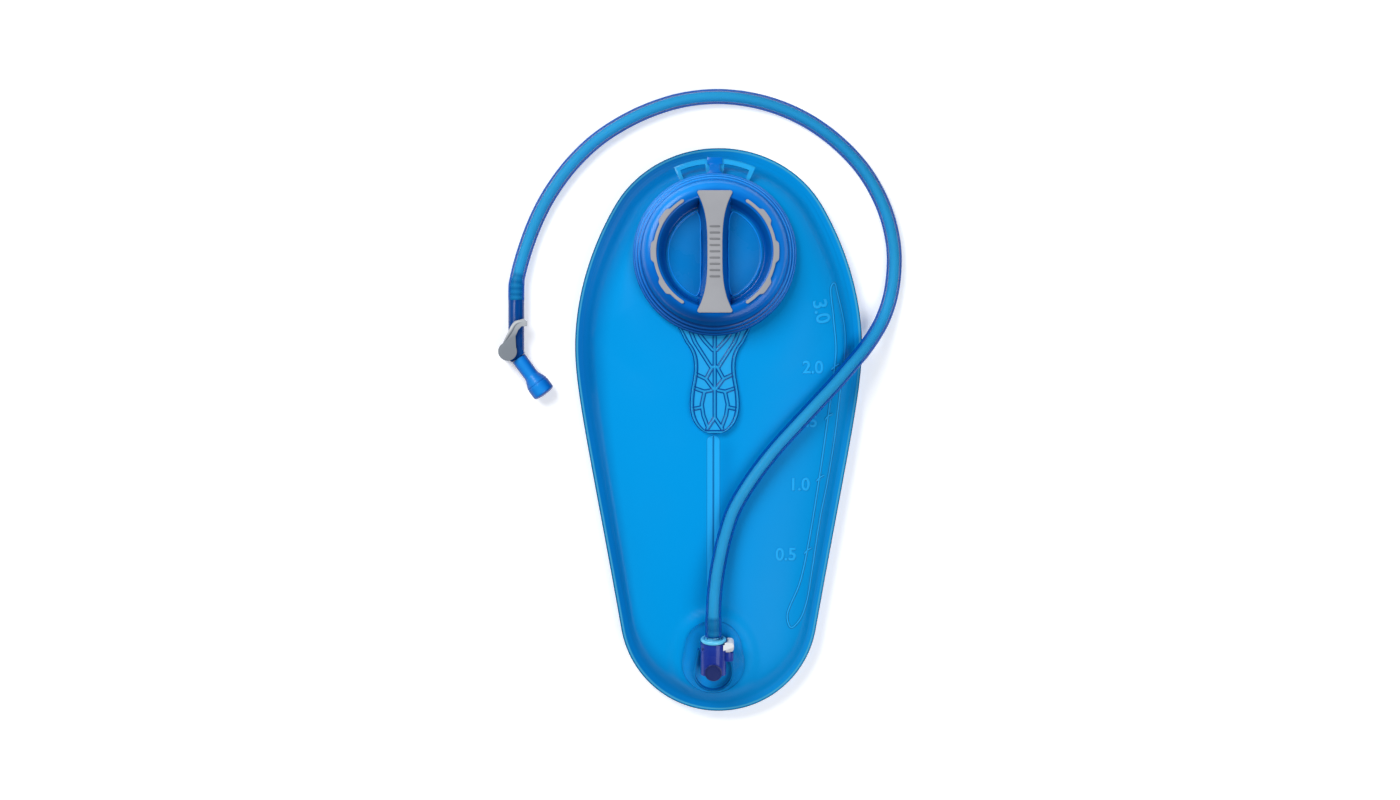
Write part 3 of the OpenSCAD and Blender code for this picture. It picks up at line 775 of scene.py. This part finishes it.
def make_valve():
    """The shut-off and bite valve; gives the pieces that the tube ends in."""
    body = cad_copy("valve_body", "valve_shell", 0.8, 4)
    dress(body, "valve", "drink_tube", ["valve_body"])
    paint_node("valve_rotor", "rotor")
    paint_node("rotor_seals", "seal")
    return [body, make_lever(), make_sheath(), frame["nodes"]["valve_rotor"], frame["nodes"]["rotor_seals"]]


hose, hose_path, hose_length = make_hose()
plug_pieces = make_port()
valve_pieces = make_valve()


# ---- the bag ------------

def bag_outline():
    """Outline of the bag, anticlockwise from the bottom: foot arc, straight sides, shoulders, flat top."""
    foot_r, taper = 74.0, math.radians(10.1)
    foot_y = foot_r - HALF_LEN
    wide_y = 62.0
    shoulder = np.array([78.0, HALF_LEN - 43.5])
    lean = np.array([-math.cos(math.radians(60)), math.sin(math.radians(60))])
    side = np.array([foot_r * math.cos(taper), foot_y - foot_r * math.sin(taper)])
    a = np.linspace(-math.pi / 2, -taper, 60, endpoint=False)
    right = np.vstack([
        np.column_stack([foot_r * np.cos(a), foot_y + foot_r * np.sin(a)]),
        bezier([side, side + 130 * np.array([math.sin(taper), math.cos(taper)]),
                (HALF_W, wide_y - 34), (HALF_W, wide_y)], 80),
        bezier([(HALF_W, wide_y), (HALF_W, wide_y + 40), shoulder - 32 * lean, shoulder], 60),
        bezier([shoulder, shoulder + 33 * lean, (31, HALF_LEN), (0, HALF_LEN)], 50),
        [[0, HALF_LEN]]])
    return np.vstack([right, right[-2:0:-1] * [-1, 1]])


def loop_direction(loop):
    """Unit vectors along a closed line."""
    return unit_rows(np.roll(loop, -1, axis=0) - np.roll(loop, 1, axis=0))


def turned_left(directions):
    return np.column_stack([-directions[:, 1], directions[:, 0]])


EDGE_N = 400          # points round the bag
WELD_FILLET = 12.0    # how wide the film turns up from the weld
OUTLINE = even(bag_outline(), EDGE_N)
OUTWARD = loop_direction(OUTLINE) @ np.array([[0, -1], [1, 0]])
WELD_LINE = OUTLINE - WELD_W * OUTWARD
WELD_RIGHT = WELD_LINE[:EDGE_N // 2 + 1]


def fullness(x, y):
    """0 on the weld line and 1 in the middle of the filled bag."""
    half = np.maximum(1, np.interp(y, WELD_RIGHT[:, 1], WELD_RIGHT[:, 0]))
    u = np.minimum(1, np.abs(x) / half)
    v = np.minimum(1, np.abs(y) / (HALF_LEN - WELD_W))
    return (1 - u ** 2.2) ** 0.6 * (1 - v ** 3.2) ** 0.6


def neck_plane(y):
    """Height of the flat film under the neck's flange."""
    return NECK[2] - FLANGE_GAP - NECK_AXIS[1] / NECK_AXIS[2] * (y - NECK[1])


def port_plane(y):
    """Height of the flat film under the exit port."""
    return PORT[2] - FLANGE_GAP + PORT_AXIS[2] / PORT_AXIS[1] * (y - PORT[1])


def front_z(x, y, reach):
    """Height of the front film. reach is the distance from the neck's axis to the weld on each spoke."""
    free = WELD_Z + FRONT_RISE * fullness(x, y)
    from_port = np.hypot((x - PORT[0]) * 1.1, y - PORT[1])
    near_port = ease((PORT_FLAT_R + PORT_TURN - from_port) / PORT_TURN)
    free = free + (port_plane(y) - free) * near_port
    r = np.hypot(x - NECK[0], y - NECK[1])
    near_neck = ease(1 - (r - FLAT_R) / np.minimum(50, 0.85 * (reach - FLAT_R)))
    return free + (neck_plane(y) - free) * near_neck


def level(points, z):
    return np.column_stack([points, np.full(len(points), z)])


# Grooves of the weld: distance in from the edge, and height over the weld's plane
WELD_STEPS = [(4.6, 0.75), (4.2, 0.75), (3.8, 0.62), (2.2, 0.62), (1.8, 0.75), (1.2, 0.75), (0.5, 0.62),
              (0.12, 0.45), (0, 0.2)]
FRONT_ROWS = 84


def front_rows():
    """Rings of points from the filling hole out to the weld, with each point's distance from the edge."""
    centre = NECK[:2]
    spoke = WELD_LINE - centre
    reach = np.linalg.norm(spoke, axis=1)
    spoke = spoke / reach[:, None]
    t = np.linspace(0, 1, FRONT_ROWS)
    rows, edge = [], []
    for f in 0.5 * t + 0.5 * (1 - np.cos(t * math.pi)) / 2:
        p = centre + spoke * (HOLE_R + f * (reach - HOLE_R))[:, None]
        to_weld = (1 - f) * (reach - HOLE_R)
        z = front_z(p[:, 0], p[:, 1], reach)
        z = WELD_Z + (z - WELD_Z) * (0.25 + 0.75 * ease(to_weld / WELD_FILLET))
        z = z + FILM * ease((f - 0.9) * 10)
        rows.append(np.column_stack([p, z]) if f < 1 else level(p, WELD_Z + FILM))
        edge.append(to_weld + WELD_W)
    return rows, edge


def front_painted_shade(x, y, edge):
    """Painted shade on the front film: darker towards the weld, most on the left, near the top and beside the
    centre weld.
    """
    side = (0.56 - 0.33 * np.tanh(x / 40)) * (1 - ease((edge - 4) / 30))
    upper = 0.06 * ease((y - 125) / 50)
    right_of_weld = ease((x + 1) / 3) * ease((2 - y) / 20) * ease((y + 125) / 50)
    weld_shade = 0.27 * np.exp(-((x - 5.5) / 7) ** 2) * right_of_weld
    return np.clip(side + upper + weld_shade, 0, 1)


def make_front():
    """The front film: its outside from the hole to the edge, then its inside back to the hole."""
    top, edge = front_rows()
    under = [row - [0, 0, FILM] for row in reversed(top)]
    under_edge = edge[::-1]
    for inset, extra_light in WELD_STEPS:
        top.append(level(OUTLINE - inset * OUTWARD, WELD_Z + extra_light))
        edge.append(np.full(EDGE_N, inset))
    for inset in (0.0, 3.0):
        top.append(level(OUTLINE - inset * OUTWARD, WELD_Z))
        edge.append(np.full(EDGE_N, inset))
    rows = top + under
    edge = np.concatenate(edge + under_edge)
    verts = np.vstack(rows)
    obj = make("film_front", verts, grid_faces(len(rows), EDGE_N, True, True), smooth_angle=60)
    set_attribute(obj, "edge", edge)
    set_attribute(obj, "painted_shade", front_painted_shade(verts[:, 0], verts[:, 1], edge))
    return dress(obj, "film", "root", ["front_panel"])


film_front = make_front()
FILM_TREE = BVHTree.FromPolygons([v.co.copy() for v in film_front.data.vertices],
                                 [list(p.vertices) for p in film_front.data.polygons])
ABOVE_ALL = 0.2       # metres


def film_height(x, y):
    """Height of the front film's outside at a place, or of the weld where there is no film."""
    hit = FILM_TREE.ray_cast(Vector((x * MM, y * MM, ABOVE_ALL)), Vector((0, 0, -1)))[0]
    return WELD_Z if hit is None else hit.z / MM


BACK_ROWS = 40
WELD_GAP = 0.02       # between the two films


def make_back():
    """The back film: its outside from the middle to the edge, then its inside back to the middle."""
    outside = []
    for f in np.sin(np.linspace(0, math.pi / 2, BACK_ROWS + 1)[1:]):
        p = WELD_LINE * f
        z = np.maximum(0, WELD_Z - BACK_DROP * fullness(p[:, 0], p[:, 1]))
        outside.append(np.column_stack([p, z]) if f < 1 else level(p, WELD_Z - FILM))
    rows = outside + [level(OUTLINE, WELD_Z - FILM), level(OUTLINE, WELD_Z - WELD_GAP)]
    rows += [level(WELD_LINE, WELD_Z - WELD_GAP)]
    rows += [row + [0, 0, FILM] for row in reversed(outside[:-1])]
    verts = np.vstack([*rows, [[0, 0, 0], [0, 0, FILM]]])
    faces = grid_faces(len(rows), EDGE_N, False, True)
    for middle, first in ((len(verts) - 2, 0), (len(verts) - 1, (len(rows) - 1) * EDGE_N)):
        faces += [(middle, first + i, first + (i + 1) % EDGE_N) for i in range(EDGE_N)]
    obj = make("film_back", verts, faces, smooth_angle=60)
    # painted shade, darker towards the edge where the back film turns up
    set_attribute(obj, "painted_shade", np.clip(0.25 + 0.02 * verts[:, 2], 0, 1))
    dress(obj, "film_plain", "root", ["back_panel"])


make_back()


SUNK = 0.35           # how far a raised line reaches into the film


def ribbon(name, points, section, end_round=0.0, closed=False):
    """A raised line on the film. section gives (offset, height above the film, painted shade) across it: 0
    paints a highlight and 1 shade.
    """
    path = spline(points, 1.2, closed)
    side = turned_left(loop_direction(path) if closed else unit_rows(np.gradient(path, axis=0)))
    s = distance_along(path)
    around = section + [(offset, -SUNK, painted_shade) for offset, _, painted_shade in reversed(section)]
    rows, painted_shades = [], []
    for k, p in enumerate(path):
        from_end = min(s[k], s[-1] - s[k])
        width = 1.0
        if from_end < end_round:
            width = max(0.05, math.sqrt(1 - (1 - from_end / end_round) ** 2))
        for offset, height, painted_shade in around:
            q = p + side[k] * offset * width
            rows.append((*q, film_height(*q) + height))
            painted_shades.append(painted_shade)
    n = len(around)
    faces = grid_faces(len(path), n, closed, True)
    if not closed:
        faces += end_faces(len(path), n)
    obj = make(name, rows, faces, smooth_angle=50)
    set_attribute(obj, "painted_shade", painted_shades)
    return dress(obj, "film_raised", "root")


# Section of a scale line: its crest painted with a highlight, its flanks with shade
SCALE_LINE = [(-1.1, -0.05, 0.55), (-0.7, 0.22, 0.9), (-0.3, 0.42, 0.0), (0.3, 0.42, 0.0), (0.7, 0.22, 0.9),
              (1.1, -0.05, 0.55)]
SCALE_LOOP = [(84, 107), (85.5, 84), (87.5, 61), (86.5, 47), (81.5, 10), (75, -36), (66, -90), (60.5, -114),
              (51, -139), (54, -147.5), (60.5, -142), (66, -128), (69.5, -107), (76, -65), (81.5, -38),
              (87, -4), (91, 31), (94.5, 61), (94, 78), (89, 101), (86.5, 109.5)]
SCALE_TICKS = [(86.5, 47), (81.5, 10), (75, -36), (66, -90)]
# Litres, place, height of the figures and turn
SCALE_NUMBERS = [("3.0", 76, 88, 15, -1.35), ("2.0", 70, 46, 13, 0.0), ("1.5", 66, 6, 12, 0.0),
                 ("1.0", 60, -41, 13, 0.0), ("0.5", 50, -93, 13, 0.0)]


def number_mesh(text, size):
    """The mesh of a number with rounded edges, lying flat at the origin."""
    curve = bpy.data.curves.new("number_" + text, "FONT")
    curve.body = text
    curve.size = size * MM
    curve.extrude = 0.1 * MM
    curve.bevel_depth = 0.42 * MM
    curve.bevel_resolution = 1
    curve.align_x = "CENTER"
    curve.align_y = "CENTER"
    holder = add_object("number", curve)
    bpy.context.view_layer.update()
    mesh = bpy.data.meshes.new_from_object(holder.evaluated_get(bpy.context.evaluated_depsgraph_get()))
    bpy.data.objects.remove(holder)
    return mesh


def scale_number(text, x, y, size, turn):
    """A raised number of the volume scale, lying on the film."""
    mesh = number_mesh(text, size)
    c, s = math.cos(turn), math.sin(turn)
    with editing(mesh) as b:
        bmesh.ops.remove_doubles(b, verts=b.verts, dist=1e-6)
        # painted shade on the numbers' sloping sides, with their tops left light
        painted_shade = [0.9 * (1 - ease((v.co.z / MM - 0.15) / 0.3)) for v in b.verts]
        for v in b.verts:
            px, py = v.co.x / MM, v.co.y / MM
            at = (x + c * px - s * py, y + s * px + c * py)
            v.co = Vector((at[0] * MM, at[1] * MM, film_height(*at) * MM + v.co.z))
    obj = add_object("scale_number_" + text.replace(".", "_"), mesh)
    set_attribute(obj, "painted_shade", painted_shade)
    dress(finish_mesh(obj, 30), "film_raised", "root")


def make_scale():
    """The volume scale: a raised loop with a tick and a number at each level."""
    ribbon("graduation_channel", SCALE_LOOP, SCALE_LINE, closed=True)
    for index, (x, y) in enumerate(SCALE_TICKS):
        ribbon(f"graduation_tick_{index}", [(x - 2.6, y - 3), (x, y), (x + 4, y + 2.2)], SCALE_LINE, 0.7)
    for number in SCALE_NUMBERS:
        scale_number(*number)


# Section of the centre weld: its flat top painted with a highlight, its middle groove and its flanks with
# shade
STRIP = [(-5.2, -0.1, 0.8), (-4.8, 0.12, 0.6), (-4.3, 0.3, 0.05), (-0.9, 0.3, 0.05), (-0.5, 0.1, 0.75),
         (0.5, 0.1, 0.75), (0.9, 0.3, 0.05), (4.3, 0.3, 0.05), (4.8, 0.12, 0.6), (5.2, -0.1, 0.8)]

make_scale()
ribbon("centre_weld", [(PORT[0], y) for y in (-4, -40, -80, -120)], STRIP, 4.0)


# ---- neck, handle and tether ------------

def make_flange():
    flange = cad_copy("port_flange", "clear_flange", 0.45)
    mark_sides(flange, NECK_AXIS)
    dress(flange, "clear", "root", ["port_flange"])


make_flange()


HANDLE_START = 59.6   # the handle's two ends, from the neck's axis
HANDLE_END = 133.0
HANDLE_BASE = 1.05    # underside and top of its web over the neck's origin
HANDLE_WEB = 2.0


def handle_side():
    """The handle's right side from its root to its tip: half-width and distance from the neck's axis."""
    root, waist, belly, tip = (41, 53.0), (15.4, 83.0), (18.5, 111.0), (0, HANDLE_END)
    return np.vstack([
        bezier([root, (24, 60), (waist[0], 68), waist], 30),
        bezier([waist, (waist[0], waist[1] + 10), (belly[0], belly[1] - 12), belly], 20),
        bezier([belly, (belly[0], belly[1] + 12), (12, HANDLE_END), tip], 40), [tip]])


# Ribs of the handle's right half and its middle, which the left half mirrors
RIBS = [
    [(0, 56), (0, 120.7)], [(0, 120.7), (5.5, 129)], [(19, 58), (3, 83)], [(12, 59), (1.5, 70.5)],
    [(2, 83.7), (6.5, 92), (1, 99.5)], [(6.5, 92), (14.6, 88.2)], [(3, 83), (0, 83)],
    [(2.5, 100.5), (7.6, 101.5), (9.6, 111), (8.4, 119), (5.2, 127.5)], [(9.6, 113), (16.6, 114.5)],
    [(7.6, 101.5), (14.8, 99)],
]


def rib_distance(x, d):
    """Distance of each point from the nearest rib."""
    best = np.full(x.shape, np.inf)
    for line in RIBS:
        for (x0, d0), (x1, d1) in zip(line, line[1:]):
            ex, ed = x1 - x0, d1 - d0
            t = np.clip(((np.abs(x) - x0) * ex + (d - d0) * ed) / (ex * ex + ed * ed), 0, 1)
            best = np.minimum(best, np.hypot(np.abs(x) - x0 - t * ex, d - d0 - t * ed))
    return best


def handle_row(d, across, half):
    """Points of the handle's top at a distance d from the neck's axis, and how dark each one is painted
    beside the ribs and rim, for the light that the clear plastic bends there.
    """
    x = across * half
    bow = np.sqrt(HANDLE_START ** 2 - np.minimum(np.abs(x), HANDLE_START) ** 2) - HANDLE_START
    y = -d - bow * ease((HANDLE_START + 6.4 - d) / 6)
    inset = np.minimum(half * (1 - np.abs(across)) * 0.95, HANDLE_END - d)
    from_rib = rib_distance(x, d)
    rim = 1.5 * ease(1 - np.abs(inset - 1.3) / 1.2)
    ribs = 1.15 * ease(1 - from_rib / 1.15) * ease((inset - 0.8) / 1.2)
    rise = 0.4 + 0.6 * ease((d - HANDLE_START) / 3)
    z = HANDLE_WEB + np.maximum(rim, ribs) * rise - 0.7 * (1 - ease(inset / 0.7))
    beside_rib = ease(1 - np.abs(from_rib - 1.2) / 0.7) * ease((inset - 1.5) / 1.0)
    beside_rim = np.maximum(ease(1 - (inset - 0.3) / 0.8), ease(1 - np.abs(inset - 2.7) / 0.8))
    return np.column_stack([x, y, z]), np.maximum(beside_rib, beside_rim)


def make_handle():
    """The clear handle below the neck: a thin web with a raised rim and raised ribs."""
    side = handle_side()
    tip = HANDLE_END - 1.5 * (1 - np.sin(np.linspace(0, math.pi / 2, 8))) ** 1.5
    ds = np.concatenate([np.arange(HANDLE_START, HANDLE_END - 1.5, 0.42), tip[:-1], [HANDLE_END - 0.03]])
    across = np.sin(np.linspace(-math.pi / 2, math.pi / 2, 121)) * 0.45 + np.linspace(-1, 1, 121) * 0.55
    top, lines = [], []
    for d in ds:
        points, line = handle_row(d, across, np.interp(d, side[:, 1], side[:, 0]))
        top.append(points)
        lines.append(line)
    bottom = [level(points[:, :2], HANDLE_BASE) for points in top]
    n, rows = len(across), len(ds)
    base = rows * n
    faces = grid_faces(rows, n)
    faces += [tuple(base + i for i in f[::-1]) for f in faces]
    for r in range(rows - 1):
        for c in (0, n - 1):
            faces.append((r * n + c, (r + 1) * n + c, base + (r + 1) * n + c, base + r * n + c))
    for c in range(n - 1):
        for r in (0, rows - 1):
            faces.append((r * n + c, r * n + c + 1, base + r * n + c + 1, base + r * n + c))
    obj = make("clear_handle", np.vstack(top + bottom), faces, NECK_FRAME, 55)
    set_attribute(obj, "line", np.concatenate(lines + [np.zeros(base)]))
    dress(obj, "clear", "root", ["handle"])


make_handle()
paint_node("neck_collar", "clear")
paint_node("centre_baffle", "film_plain")


# Creases between the cap's steps, painted with shade, and their upper edges, painted with a highlight:
# radius and height
CAP_CREASES = [(58.4, 9.6), (56.5, 13.2), (54.2, 16.8), (RING_R, 5.6), (RING_R, 7.2)]
CAP_RIMS = [(58.2, 12.4), (56.1, 16.0), (59.6, 9.0)]


def near(places, r, z, spread):
    """1 at any of the places, given as radius and height, falling to 0 round it."""
    return sum(math.exp(-((r - at_r) ** 2 + (z - at_z) ** 2) / spread) for at_r, at_z in places)


def cap_tone(p, mean, swing):
    """Light that reaches a point of the cap: most at the upper left, least at the bottom and in the wells."""
    r, angle = math.hypot(p.x, p.y), math.atan2(p.y, p.x)
    outside = float(ease((r - 43.5) / 6))
    lit = max(0.0, math.cos(angle - math.radians(120))) ** 1.5 + 0.3 * max(0.0, math.cos(angle))
    shaded = max(0.0, math.cos(angle + math.radians(97))) ** 3
    tone = mean + swing * (lit - shaded) * outside
    tone += 0.2 * near(CAP_RIMS, r, p.z, 0.7) - 0.4 * near(CAP_CREASES, r, p.z, 0.5)
    in_well = (1 - float(ease((r - 41.4) / 0.8))) * float(ease((PLATEAU - 0.6 - p.z) / 1.5))
    well_tone = 0.33 - 0.08 * math.cos(angle - math.radians(115))
    return max(0.0, tone) * (1 - in_well) + well_tone * in_well


def paint_tone(obj, mean=0.5, swing=0.42):
    """Sets tone on a piece of the cap."""
    inverse = NECK_FRAME.inverted()
    set_attribute(obj, "tone", [cap_tone(inverse @ (v.co / MM), mean, swing) for v in obj.data.vertices])
    return obj


def make_ring():
    profile = [(55.9, 4.3), (59.6, 4.3), (RING_R, 5.2), (RING_R, 7.7), (59.2, 9.3), (55.9, 9.3), (55.9, 4.3)]
    band = paint_tone(lathe("ring_band", rounded(profile, 0.7), NECK_FRAME, 200), 0.42, 0.3)
    dress(band, "cap_blue", "tether_ring", ["tether_ring"])


def make_strap():
    """The tether's strap, from the ring down to its anchor."""
    path = spline([(60.2, 6.6), (62.5, 6.5), (65, 5.2), (67, 3.9), (69.5, 3.6)], 0.4)
    verts = []
    for (y, z), f in zip(path, np.linspace(0, 1, len(path))):
        half = 4.0 + 2.2 * ease((0.22 - f) / 0.22) + 1.2 * ease((f - 0.8) / 0.2)
        upper = [(-half, 0), (0.35 - half, 0.55), (0.9 - half, 0.72), (half - 0.9, 0.72), (half - 0.35, 0.55)]
        verts += [(x, y, z + h) for x, h in upper]
        verts += [(-x, y, z - h) for x, h in upper]
    n = 2 * len(upper)
    faces = grid_faces(len(path), n, False, True) + end_faces(len(path), n)
    strap = make("strap_web", verts, faces, NECK_FRAME, 60)
    dress(strap, "tether", None, ["tether_strap"])
    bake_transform(strap)


def make_tether():
    make_ring()
    dress(cad_copy("tether_anchor", "anchor_stud", 0.5), "tether", "root", ["tether_anchor"])
    make_strap()


make_tether()


# ---- cap ------------

WINDOW_Z = 10.9       # seam between the cap's window and its wells
GRIP_TOP = PLATEAU + 1.5          # top of the grey pads
BOW_WAIST, BOW_END = 5.5, 13.9    # half-width of the bridge's grip at its middle and its ends


def bow_half(y, half, waist, end):
    """Half-width of the bridge, narrow in the middle and wide at its ends."""
    return waist + (end - waist) * np.abs(y / half) ** 3.2


def mirrored(x, y):
    """Closed outline from the right side of a shape that is the same on the left."""
    return list(zip(x, y)) + list(zip(-x[::-1], y[::-1]))


def make_dome():
    """The stepped shell of the cap, with its rounded rim and the wells inside it."""
    profile = [
        (52.2, 2.9), (57.4, 2.9), (57.4, 4.0), (55.6, 4.2), (55.6, 9.5), (58.6, 9.6), (58.8, 11.3),
        (57.6, 12.9), (56.5, 13.0), (56.6, 15.0), (55.6, 16.3), (54.3, 16.6), (54.0, 18.5), (53.4, 20.6),
        (52.4, 23.2), (51.2, 25.1), (49.8, 26.0), (48.2, 26.6), (46.4, 26.95), (44.0, PLATEAU), (41.6, 26.6),
        (40.8, 24.6), (38.3, 12.0), (37.0, 10.3), (35.4, 10.3), (35.4, 7.6), (40.6, 7.6),
        (43.6, 20.0), (43.6, 23.0), (52.2, 23.0), (52.2, 2.9)]
    shell = paint_tone(lathe("cap_dome", rounded(profile, 0.8), NECK_FRAME, 240))
    dress(shell, "cap_blue", "cap", ["cap_shell"])


# Height of each section of the bridge, its half-width at the middle and the ends, and its half-length
BRIDGE_SECTIONS = [(10.0, 10.0, 15.5, 40.5), (13.0, 8.8, 14.6, 40.8), (18.0, 7.6, 14.2, 41.2),
                   (23.0, 6.3, 14.0, 42.2), (26.2, 5.9, 13.9, 43.0), (PLATEAU, BOW_WAIST, 13.5, 43.0)]


def make_bridge():
    """The bridge across the wells, which stays inside their round wall below the cap's top."""
    verts = []
    for z, waist, end, half in BRIDGE_SECTIONS:
        y = np.linspace(-half, half, 61)
        x = bow_half(y, half, waist, end)
        if z < 26:
            wall = 36.9 + (z - 10) * 0.24
            x = np.minimum(x, np.sqrt(np.maximum(wall ** 2 - y ** 2, 0.5)))
        verts += [(*q, z) for q in mirrored(x, y)]
    n = 2 * len(y)
    faces = grid_faces(len(BRIDGE_SECTIONS), n, False, True)
    faces += [f[::-1] for f in end_faces(len(BRIDGE_SECTIONS), n)]
    bridge = make("cap_bridge", verts, faces, NECK_FRAME)
    dress(paint_tone(bridge, 0.44, 0.2), "cap_blue", "cap")


def make_window():
    profile = [(0.01, 10.6), (33.5, 10.35), (34.2, WINDOW_Z), (35.6, WINDOW_Z), (36.4, 10.3), (36.4, 8.7),
               (0.01, 8.7)]
    window = lathe("cap_pane", rounded(profile, 0.4), NECK_FRAME, 160, closed=False)
    dress(window, "cap_clear", "cap", ["cap_window"])


def bead(name, loop, z, radius):
    """A thin raised bead along a closed loop at one height in the cap."""
    path = spline(loop, 1.0, True)
    around = full_turn(10)
    verts = [(*(p + q * radius * math.cos(a)), z + radius * math.sin(a))
             for p, q in zip(path, turned_left(loop_direction(path))) for a in around]
    obj = make(name, verts, grid_faces(len(path), len(around), True, True), NECK_FRAME, 60)
    # tone 0.95 paints the bead with the cap's lit colour, a painted highlight
    set_attribute(obj, "tone", np.full(len(verts), 0.95))
    dress(obj, "cap_blue", "cap")


def make_window_beads():
    """A bead painted with a highlight round each half of the window: an arc along the wall and a line along
    the bridge.
    """
    arc = [(34.4 * math.cos(a), 34.4 * math.sin(a)) for a in np.radians(np.linspace(-62, 62, 15))]
    inner = [(13.5, 31.2), (11.0, 26), (10.4, 12), (10.2, 0), (10.4, -12), (11.0, -26), (13.5, -31.2)]
    for name, side in (("window_bead_left", -1), ("window_bead_right", 1)):
        bead(name, [(side * x, y) for x, y in arc + inner], WINDOW_Z, 0.5)


def make_bridge_grip():
    """The grey pad on the bridge."""
    half, corner = 45.0, 2.2
    y = np.linspace(-half, half, 91)
    past_corner = np.maximum(np.abs(y) - (half - corner), 0)
    cut = corner - np.sqrt(np.maximum(corner ** 2 - past_corner ** 2, 0))
    edge = mirrored(bow_half(y, half, BOW_WAIST, BOW_END) - cut, y)
    grip = slab("bridge_pad", edge, PLATEAU, GRIP_TOP, NECK_FRAME)
    dress(soften(grip, 0.55, 4), "grip", "cap", ["bridge_grip"])


def make_grip_bars():
    """Nine plain bars across the pad, each a little smaller at its top."""
    half, round_r, pitch, count = 3.2, 0.8, 4.6, 9
    turn = np.linspace(-math.pi / 2, math.pi / 2, 7)
    x = np.concatenate([half + round_r * np.cos(turn), -half - round_r * np.cos(turn)])
    y = np.concatenate([round_r * np.sin(turn), -round_r * np.sin(turn)])
    verts, faces = [], []
    for k in range(count):
        middle = (k - (count - 1) / 2) * pitch
        first = len(verts)
        verts += [(a, middle + b, PLATEAU + 1.3) for a, b in zip(x, y)]
        verts += [(0.94 * a, middle + 0.75 * b, PLATEAU + 1.95) for a, b in zip(x, y)]
        faces += slab_faces(len(x), first)
    bars = make("bridge_grip_bars", verts, faces, NECK_FRAME, 30)
    dress(soften(bars, 0.15, 2), "grip_mark", "cap")


def make_arc_grip(node_name, name, mid):
    """A grey arc with three humps on its outer side and round ends. mid is the angle of its middle."""
    span, round_span, inner = 59, 2, 43.0
    a = np.linspace(-span, span, 141)
    humps = sum(1.9 * ease((wide - np.abs(a - at)) / 4) for at, wide in ((-35, 9.5), (0, 11), (35, 9.5)))
    outer = inner + 2.3 + humps
    past_end = np.clip((np.abs(a) - (span - round_span)) / round_span, 0, 1)
    round_end = np.sqrt(np.clip(1 - past_end ** 2, 0.02, 1))
    centre = (outer + inner) / 2
    half = (outer - inner) / 2 * round_end
    turn = np.radians(a + mid)
    direction = np.column_stack([np.cos(turn), np.sin(turn)])
    edge = np.vstack([direction * (centre + half)[:, None], (direction * (centre - half)[:, None])[::-1]])
    grip = slab(name, edge, PLATEAU - 0.4, GRIP_TOP, NECK_FRAME)
    dress(soften(grip, 0.5), "grip", "cap", [node_name])


make_dome()
make_bridge()
make_window()
paint_node("cap_gasket", "seal")
make_window_beads()
make_bridge_grip()
make_grip_bars()
make_arc_grip("arc_grip_left", "arc_pad_left", 180)
make_arc_grip("arc_grip_right", "arc_pad_right", 0)


# ---- floor and light ------------

def studio_floor(tree):
    """Pale floor that glows a little, which keeps its shadows soft."""
    return {
        "Base Color": mix(tree, noise(tree, 3.0), (0.93, 0.935, 0.94), (0.95, 0.95, 0.955)),
        "Roughness": 0.9, "Emission Color": (1, 1, 1, 1), "Emission Strength": 0.28}


def make_floor():
    bpy.ops.mesh.primitive_plane_add(size=8.0, location=(0, 0, -0.0004))
    floor = bpy.context.object
    floor.name = "floor"
    floor.data.materials.append(material("floor", studio_floor))


def make_world():
    """A dim sky that darkens towards its top, so that glossy parts show soft edges."""
    world = bpy.data.worlds.new("world")
    world.use_nodes = True
    tree = world.node_tree
    direction = node(tree, "ShaderNodeTexCoord", {}).outputs["Generated"]
    up = node(tree, "ShaderNodeSeparateXYZ", {0: direction}).outputs[2]
    sky = mix(tree, ramp(tree, up, 0.55, 0.95), (0.34, 0.355, 0.37), (0.05, 0.055, 0.06))
    set_inputs(tree, tree.nodes["Background"], {"Color": sky})
    bpy.context.scene.world = world


# Place in metres, size and power of each lamp
LAMPS = {"key": ((-0.95, 1.0, 1.7), 1.2, 35.0), "fill": ((1.0, -0.8, 1.9), 1.6, 26.0)}


def make_lamps():
    for name, (place, size, power) in LAMPS.items():
        data = bpy.data.lights.new(name, "AREA")
        data.shape = "DISK"
        data.size = size
        data.energy = power
        lamp = add_object(name, data)
        lamp.location = place
        lamp.rotation_euler = (Vector((0, 0.05, 0)) - Vector(place)).to_track_quat("-Z", "Y").to_euler()


def set_view():
    scene = bpy.context.scene
    scene.view_settings.view_transform = "Standard"
    scene.view_settings.look = "None"
    scene.cycles.use_denoising = True
    scene.cycles.max_bounces = 12
    scene.cycles.transmission_bounces = 10
    scene.cycles.caustics_reflective = False


make_floor()
make_world()
make_lamps()
set_view()
